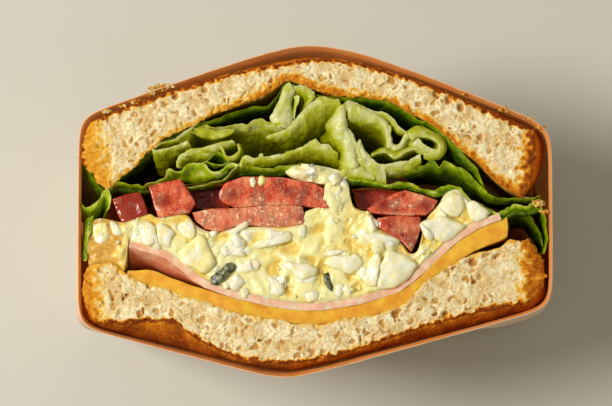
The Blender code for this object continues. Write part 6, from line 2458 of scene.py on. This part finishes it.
    ), thick=0.7, ruffle=0.2, crinkle=0.3, ragged=0.3), LeafSheet((
        at(0.2, 0.12, 340.5, 171.5, 345, 168, 349, 166.5, 352, 167.5, 356, 166.5, 361, 167, 367, 170,
            374, 173),
        at(0.3, 0.16, 342, 174.5, 347, 172.5, 352, 172.5, 357, 173, 362, 174, 368, 176, 375, 178),
        at(1.2, 0.5, 344, 178.5, 350, 179, 356, 179.5, 362, 180, 368, 180, 376, 180.5),
    ), thick=0.7, ruffle=0.2, crinkle=0.3, ragged=0.3))),
    Leaf("leaf_ring", LeafKind.PALE, (LeafSheet((
        at(0.5, 0.16, 345.5, 102, 350, 100, 355, 101.5, 360, 104, 364, 106.5, 369, 109, 375, 111,
            380, 114, 384, 117, 387.5, 121, 389.5, 126, 390.5, 132, 391, 139, 392, 145),
        at(0.1, 0.1, 347, 108, 351, 107, 356, 108.5, 361, 111, 365, 113, 370, 115, 375, 117, 379.5, 119.5,
            383, 122, 385.5, 125, 387, 129, 388, 134, 388.5, 140, 389.5, 147),
        at(0.7, 0.22, 348, 117, 352, 117, 357, 118, 362, 119, 366, 120, 370.5, 121, 375, 122.5, 379, 124,
            382, 126, 384.5, 129, 386, 132.5, 387, 137, 387.5, 142, 388, 147.5),
        at(3.6, 0.5, 349, 124, 353, 124.5, 358, 125, 363, 126, 367, 127, 371, 128, 375, 129.5, 378.5, 131,
            381.5, 133, 383.5, 136, 385, 139, 386, 142.5, 386.5, 146, 387, 149),
        at(7.5, 0.68, 350, 131, 354, 132, 359, 133, 363.5, 134, 367.5, 135, 371, 136.5, 375, 138,
            378, 139.5, 380.5, 141.5, 382.5, 144, 384, 146, 385, 148, 385.5, 149.5, 386, 151),
        at(12, 0.86, 352, 142, 356, 144, 360, 146.5, 364, 149, 368, 151, 371.5, 152.5, 374.5, 153.5,
            377.5, 154, 380, 154.3, 383, 154.6, 386, 155),
    ), thick=0.6, ruffle=0.2, crinkle=0.3, ragged=0.25), LeafSheet((
        at(0.3, 0.1, 392, 125, 391.7, 133, 392.2, 139, 393.5, 143, 396, 144.5, 398.5, 143.5, 401, 140.5,
            403.5, 136.5, 406, 133),
        at(0, 0.02, 389.5, 125, 389.5, 133, 390, 140, 391.5, 145.5, 395.5, 148.3, 400, 147, 403.5, 143.5,
            406, 139, 408.5, 135),
        at(1.2, 0.38, 387.5, 126, 387.5, 134, 387.8, 141, 389, 147.5, 394.5, 151.5, 401, 150.5,
            406, 146.5, 409.5, 141.5, 412, 137),
    )), LeafSheet((
        at(0.3, 0.12, 362, 104.5, 369, 108.5, 375, 110.3, 381, 111, 386, 112.2, 390, 114.8, 393.5, 118.3,
            396.5, 122.8, 400, 126.8, 404, 129.8, 409, 132.5),
        at(0.6, 0.36, 364, 107, 370, 110.8, 376, 113, 381, 114.3, 385, 116, 388.5, 118.8, 391.5, 122.3,
            394.5, 126.5, 398, 130.3, 402.5, 132.8, 407.5, 134),
        at(2.6, 0.6, 365, 110, 371, 113.5, 377, 116, 381.5, 118, 385, 120.5, 388, 123.5, 391, 127,
            394, 131, 398, 134, 402, 135.5, 406, 136),
    )))),
    Leaf("leaf_loop", LeafKind.PALE, (LeafSheet((
        at(1, 0.42, 403, 133.5, 409, 129.3, 413, 126.8, 418, 125.3, 424, 126.8, 430, 129.8, 436, 133,
            441, 136, 445, 141, 447, 147, 446, 152, 443, 157, 438, 159.8, 432, 160.3, 424, 158.5),
        at(0.2, 0.3, 407, 136, 411, 132.5, 415, 130.5, 419, 130, 424, 131.5, 429, 134, 434, 136.5,
            439, 139, 442.5, 143, 443.5, 147.5, 442.5, 152, 440, 155.5, 436, 157, 431, 157.5, 424, 156),
        at(0.1, 0.08, 412, 140, 415, 137.5, 417.5, 135.8, 420.5, 135.5, 425, 136, 430, 137.3, 434.5, 139,
            438, 142, 439.5, 145.5, 439, 149, 437, 151.5, 433.5, 153, 429, 154, 424, 153),
        at(2, 0.62, 417, 141, 418.5, 139.3, 420.5, 138.8, 423.5, 138.5, 427, 138.8, 431, 139.7,
            434.5, 141.5, 436.7, 144, 436.5, 146.3, 434.5, 148, 431, 149, 427.5, 149.5, 424, 149.5),
        at(6, 0.95, 424, 142.5, 425.5, 141.5, 427.5, 141.3, 430, 141.8, 432.5, 142.8, 434, 144, 434, 145,
            432.5, 145.8, 430, 146.3, 427.5, 146.5, 425, 146.5),
    )), LeafSheet((
        at(0.1, 0.03, 418.5, 137.5, 422, 142, 426, 145.3, 431, 147.8, 436, 149.3, 440, 149),
        at(0.3, 0.12, 414, 141.5, 418, 146, 423, 149.5, 429, 152, 434, 153.5, 439, 153.5),
        at(0.9, 0.38, 409, 145, 414, 150, 420, 153.5, 427, 156.5, 433, 158, 439, 157.5),
    )), LeafSheet((
        at(0.5, 0.3, 405, 134, 410, 132.5, 415, 134, 419, 137),
        at(0.7, 0.4, 401, 140, 406, 138.5, 412, 139.5, 417, 142.5),
        at(1.2, 0.46, 396, 149, 402, 146, 409, 145, 416, 147),
    )))),
    Leaf("leaf_band", LeafKind.PALE, (LeafSheet((
        at(2, 0.55, 372, 152, 378, 150, 383, 147.5, 388, 146, 392, 148, 396, 149.5, 401, 148, 406, 145.5,
            411, 143.5, 417, 142.5, 423, 143),
        at(0.6, 0.34, 372, 153.5, 377, 152, 382, 150, 387, 149.5, 391, 151.5, 395, 153.5, 400, 151.5,
            406, 148.5, 411, 146.5, 417, 145.5, 423, 146),
        at(0.1, 0.08, 371, 155.5, 376, 153.5, 381, 152.3, 386, 152.3, 390, 155, 394.5, 157.8, 399, 156.5,
            404, 153, 409, 150.3, 415, 149, 422, 149),
        at(1.8, 0.6, 372, 157, 377, 155.5, 382, 154.5, 387, 155, 391, 157.5, 395, 159.5, 400, 158.5,
            405, 156, 410, 153.5, 416, 152, 423, 151.5),
        at(5, 0.9, 374, 161, 379, 160, 384, 159.5, 389, 160, 393, 161.5, 397, 162.5, 402, 161.5,
            407, 159.5, 412, 157.5, 418, 156, 424, 155),
    )), LeafSheet((
        at(0.1, 0.05, 369.5, 155, 373, 160.5, 378, 163.5, 384, 164.8, 390, 163, 396, 161.5, 403, 160.8,
            409, 160, 413, 158, 417, 155.5, 420.5, 153.2),
        at(0.3, 0.26, 369, 161, 373, 165, 378, 167.5, 384, 168.5, 390, 167, 396, 165.8, 403, 165.3,
            409, 164.5, 414, 162.8, 418, 160.5, 421, 158.5),
        at(1.1, 0.36, 371, 168, 375, 171, 380, 172.5, 386, 173, 392, 172.5, 398, 171.5, 404, 170.8,
            410, 170, 415, 168, 418.5, 165.5, 421, 163),
        at(3.5, 0.62, 376, 176, 381, 178, 387, 178.5, 393, 178.5, 399, 177.5, 405, 176, 410, 174,
            414.5, 172, 417.5, 169.5, 420.5, 167.5),
    ), spots=((397, 174, 12, 3, -0.2),)), LeafSheet((
        # a backing sheet deep under the band, toned dark: painted shade for the hollow there
        at(4, 0.6, 338, 181, 355, 183, 375, 186, 400, 190, 425, 194),
        at(7, 0.75, 338, 190, 355, 192, 375, 194, 400, 197, 425, 200),
        at(9, 0.9, 338, 208, 355, 208, 375, 208, 400, 208, 425, 208),
    )))),
    Leaf("leaf_right", LeafKind.GREEN, (LeafSheet((
        at(0.6, 0.34, 403, 174, 410, 172.5, 415, 170.5, 420, 167, 425, 164.5, 429, 162, 432, 160.5,
            434, 161.5, 436.5, 165, 438.5, 167.5, 441, 167.5, 443, 163.5, 445, 161, 449, 163, 453, 165,
            458, 166.5, 464, 169, 468, 173, 472, 177, 477, 182, 482, 188, 488, 193.5, 495, 197,
            505, 198.5, 515, 198, 527, 198, 540, 195.5),
        at(2.4, 0.46, 405, 175.5, 412, 175, 417, 174, 422, 172.5, 427, 171, 431, 170, 435, 170.5,
            438, 172, 442, 172, 446, 170.5, 450, 171, 455, 172.5, 460, 175, 465, 178, 469, 181.5,
            473, 185, 478, 190, 483, 194, 490, 198, 497, 200.5, 506, 201.5, 516, 201, 528, 201, 540, 199),
        at(6, 0.7, 407, 178, 414, 178, 421, 177, 428, 176, 435, 176.5, 442, 177, 450, 177, 457, 179.5,
            463, 183, 468, 187, 474, 192, 480, 197, 488, 202, 497, 204.5, 507, 205, 517, 204.5, 529, 204,
            539, 203),
        at(14, 0.95, 410, 184, 418, 184, 428, 184, 438, 185, 448, 186, 457, 189, 465, 194, 473, 200,
            482, 205, 494, 208, 507, 209, 519, 208, 536, 208),
    ), thick=0.4, ruffle=0.3, crinkle=0.3, ragged=0.3),)),
    Leaf("leaf_lower_left", LeafKind.GREEN, (LeafSheet((
        at(0.5, 0.24, 109, 190, 114, 184, 118, 181.5, 124, 183, 131, 185, 138, 184, 143, 186, 148, 183,
            156, 182, 166, 184, 180, 187, 195, 186.5, 210, 183.5, 222, 180, 228, 176, 232, 171, 238, 167,
            244, 165.8, 252, 167, 262, 168.3, 272, 168.7, 278, 166.3, 290, 165.3, 300, 162.5),
        at(2.6, 0.52, 110, 194, 115, 189, 120, 187, 126, 188, 133, 189, 140, 189, 145, 190, 150, 188,
            157, 187, 167, 188.5, 182, 190, 196, 189, 210, 186.5, 222, 183, 230, 179, 236, 174,
            242, 171.5, 250, 171.5, 258, 172.5, 267, 173, 276, 173, 284, 172, 293, 171, 302, 169),
        at(8, 0.85, 112, 198, 118, 196, 126, 196, 136, 196, 146, 196, 156, 194, 168, 193, 182, 193,
            196, 192, 210, 190, 222, 187, 232, 183, 242, 180, 252, 179, 262, 179, 272, 179.5, 282, 179,
            292, 178, 302, 176),
        LeafLine(46, 1.0, pairs(-50.2, 4.9, -46, 5.4, -43, 6.3, -40, 7.3, -37, 7.9, -33.4, 8.4, -29, 7.9,
            -25, 7.9, -22, 8.6, -18, 9.5, -12, 9.6, -7.6, 9.8), True),
    )),)),
    Leaf("leaf_lower_right", LeafKind.GREEN, (LeafSheet((
        at(0.5, 0.22, 348, 179, 362, 180, 376, 181.5, 386, 184.5, 393, 183.5, 400, 181, 406, 182.5,
            412, 184, 416, 186, 421, 188, 428, 190, 434, 191, 440, 187, 446, 185.5, 452, 185.5,
            457, 186.5, 461, 188, 465, 193, 470, 200, 477, 203, 483, 206, 488, 209, 495, 212, 503, 211,
            511, 206, 518, 204, 526, 206, 533, 202, 541, 199),
        at(1.5, 0.4, 349, 182, 362, 183, 376, 185, 387, 188, 394, 187.5, 401, 186, 407, 187, 413, 188.5,
            418, 190.5, 423, 192, 429, 194, 435, 194.5, 440, 192.5, 446, 190.5, 452, 190, 457, 191,
            462, 194, 466, 199, 471, 205, 477, 208, 484, 211, 490, 214, 497, 217, 504, 216, 512, 211,
            519, 209, 527, 211, 534, 207, 541, 205),
        at(5, 0.74, 350, 186, 363, 187, 377, 189, 390, 190, 402, 190, 413, 192, 424, 195, 434, 198,
            444, 197, 455, 198, 463, 205, 474, 212, 487, 218, 500, 221, 513, 217, 527, 217, 540, 213),
        LeafLine(46, 1.0, pairs(9.4, 7.6, 15, 7.3, 21, 6.8, 28, 6.1, 34, 5.7, 38, 3.9, 42, 1.6, 46.5, 0.7,
            50, 0.5, 53, 0.6), True),
    ), spots=((431, 194, 9, 4, -0.25),), thick=0.4, ruffle=0.3, crinkle=0.25, ragged=0.35),)),
    Leaf("leaf_end_left", LeafKind.GREEN, (LeafSheet((
        at(1, 0.55, 81, 162, 88, 170, 94, 178, 100, 186, 107, 192),
        at(4, 0.72, 80, 172, 86, 178, 91, 186, 96, 193, 103, 198),
        at(9, 0.9, 80, 185, 84, 190, 88, 196, 92, 203, 98, 208),
        at(15, 1, 79, 206, 82, 209, 86, 210, 90, 211, 96, 213),
    )), LeafSheet((
        at(0.1, 0.12, 79, 199, 84, 207, 92, 205, 99, 199, 104, 190, 109, 190, 111, 200, 109, 209),
        at(0.8, 0.3, 79.5, 206, 86, 212, 93, 211, 100, 206, 104, 199, 107.5, 199, 108, 206, 106, 213),
        at(3, 0.5, 80.5, 214, 88, 218, 94, 218, 100, 214, 103, 209, 105.5, 209, 106, 213, 104, 218),
        at(7, 0.8, 82, 222, 89, 224, 95, 223, 100, 220, 102, 217, 104, 217, 104, 220, 102, 223),
    )), LeafSheet((
        at(0.2, 0.22, 93, 216, 92, 226, 90, 238, 88, 250, 87, 261),
        at(0.6, 0.36, 89, 218, 87.5, 228, 86, 240, 85, 252, 84.5, 261),
        at(2.5, 0.6, 85, 220, 84, 230, 83, 242, 82.5, 254, 82.5, 261),
    )))),
    Leaf("leaf_end_right", LeafKind.GREEN, (LeafSheet((
        at(0.3, 0.3, 537, 199, 541, 206, 544.5, 217, 546, 230, 546.5, 243, 544, 254),
        at(5, 0.6, 533, 203, 537, 210, 540, 221, 541.5, 232, 542, 243, 540.5, 253),
        at(14, 0.9, 530, 206, 533, 214, 536, 224, 537.5, 234, 538, 243, 537, 252),
    )), LeafSheet((
        at(1, 0.5, 508, 215, 518, 213, 528, 216, 535, 224, 540, 234, 543, 246),
        at(5, 0.68, 509, 221, 518, 219.5, 527, 222.5, 533, 229, 538, 238, 541, 248),
        at(11, 0.9, 510, 229, 518, 228, 525, 231, 530, 237, 535, 244, 538, 251),
    )))),
)


@dataclass
class Lettuce:
    """All leaves between the tomato and the upper slice, and at the two ends."""

    leaves: tuple[Leaf, ...] = LETTUCE

    def build(self) -> None:
        """Makes each leaf from its sheets and gives it its looks."""
        looks = {kind: LeafFinish(kind).material() for kind in LeafKind}
        slots = {LeafKind.PALE: Slot.PALE, LeafKind.GREEN: Slot.GREEN}
        number = 0
        for leaf in self.leaves:
            parts = []
            for sheet in leaf.sheets:
                parts.append(sheet.build(number))
                number += 1
            piece = joined(leaf.node, parts)
            finish_piece(piece, looks[leaf.kind], slots[leaf.kind], leaf.node, angle=80)


# --- the studio


@dataclass
class Studio:
    """Pale floor, a soft window of light from the upper left, and weak light all round."""

    floor_size: float = 3.0
    floor_colour: Colour = srgb(208, 206, 197)
    floor_shade: Colour = srgb(202, 199, 188)
    key_at: Triple = (-0.84, 0.12, 0.94)
    key_size: float = 0.5
    key_power: float = 14.5
    key_colour: Colour = (1.0, 0.97, 0.91)
    aim: Triple = (0.0, 0.0, 0.04)
    fill: Colour = (0.345, 0.322, 0.265)

    def build(self) -> None:
        """Adds the floor, the light and the camera."""
        deselect()
        bpy.ops.mesh.primitive_plane_add(size=self.floor_size)
        floor = bpy.context.object
        floor.name = "floor"
        look = Shader("floor_card")
        colour = look.mix(look.noise(60, 2), self.floor_colour, self.floor_shade)
        look.set(Base_Color=colour, Roughness=0.75, Normal=look.bump(look.noise(1.2, 3), 0.02, 0.3))
        floor.data.materials.append(look.material)
        data = bpy.data.lights.new("window", "AREA")
        data.shape, data.size = "DISK", self.key_size
        data.energy, data.color = self.key_power, self.key_colour
        lamp = bpy.data.objects.new("window", data)
        bpy.context.scene.collection.objects.link(lamp)
        lamp.location = self.key_at
        aim = Vector(self.aim) - lamp.location
        lamp.rotation_euler = aim.to_track_quat("-Z", "Y").to_euler()
        world = bpy.data.worlds.new("room")
        world.use_nodes = True
        world.node_tree.nodes["Background"].inputs["Color"].default_value = (*self.fill, 1)
        bpy.context.scene.world = world
        bpy.context.scene.view_settings.view_transform = "Standard"
        VIEW.place()


def main() -> None:
    """Builds the sandwich from its wrap inwards, with the studio round it."""
    logging.basicConfig(level=logging.INFO, format="%(name)s: %(message)s")
    Studio().build()
    PaperWrap().build()
    toast = ToastFinish().material()
    for slice_of_toast in SLICES:
        slice_of_toast.build(toast)
    LooseCrumbs().build(toast)
    CUTS.cheese()
    CUTS.ham()
    tomato = TomatoFinish().material()
    for piece in TOMATOES:
        piece.build(tomato)
    EggSalad().build()
    Lettuce().build()


if __name__ == "__main__":
    main()
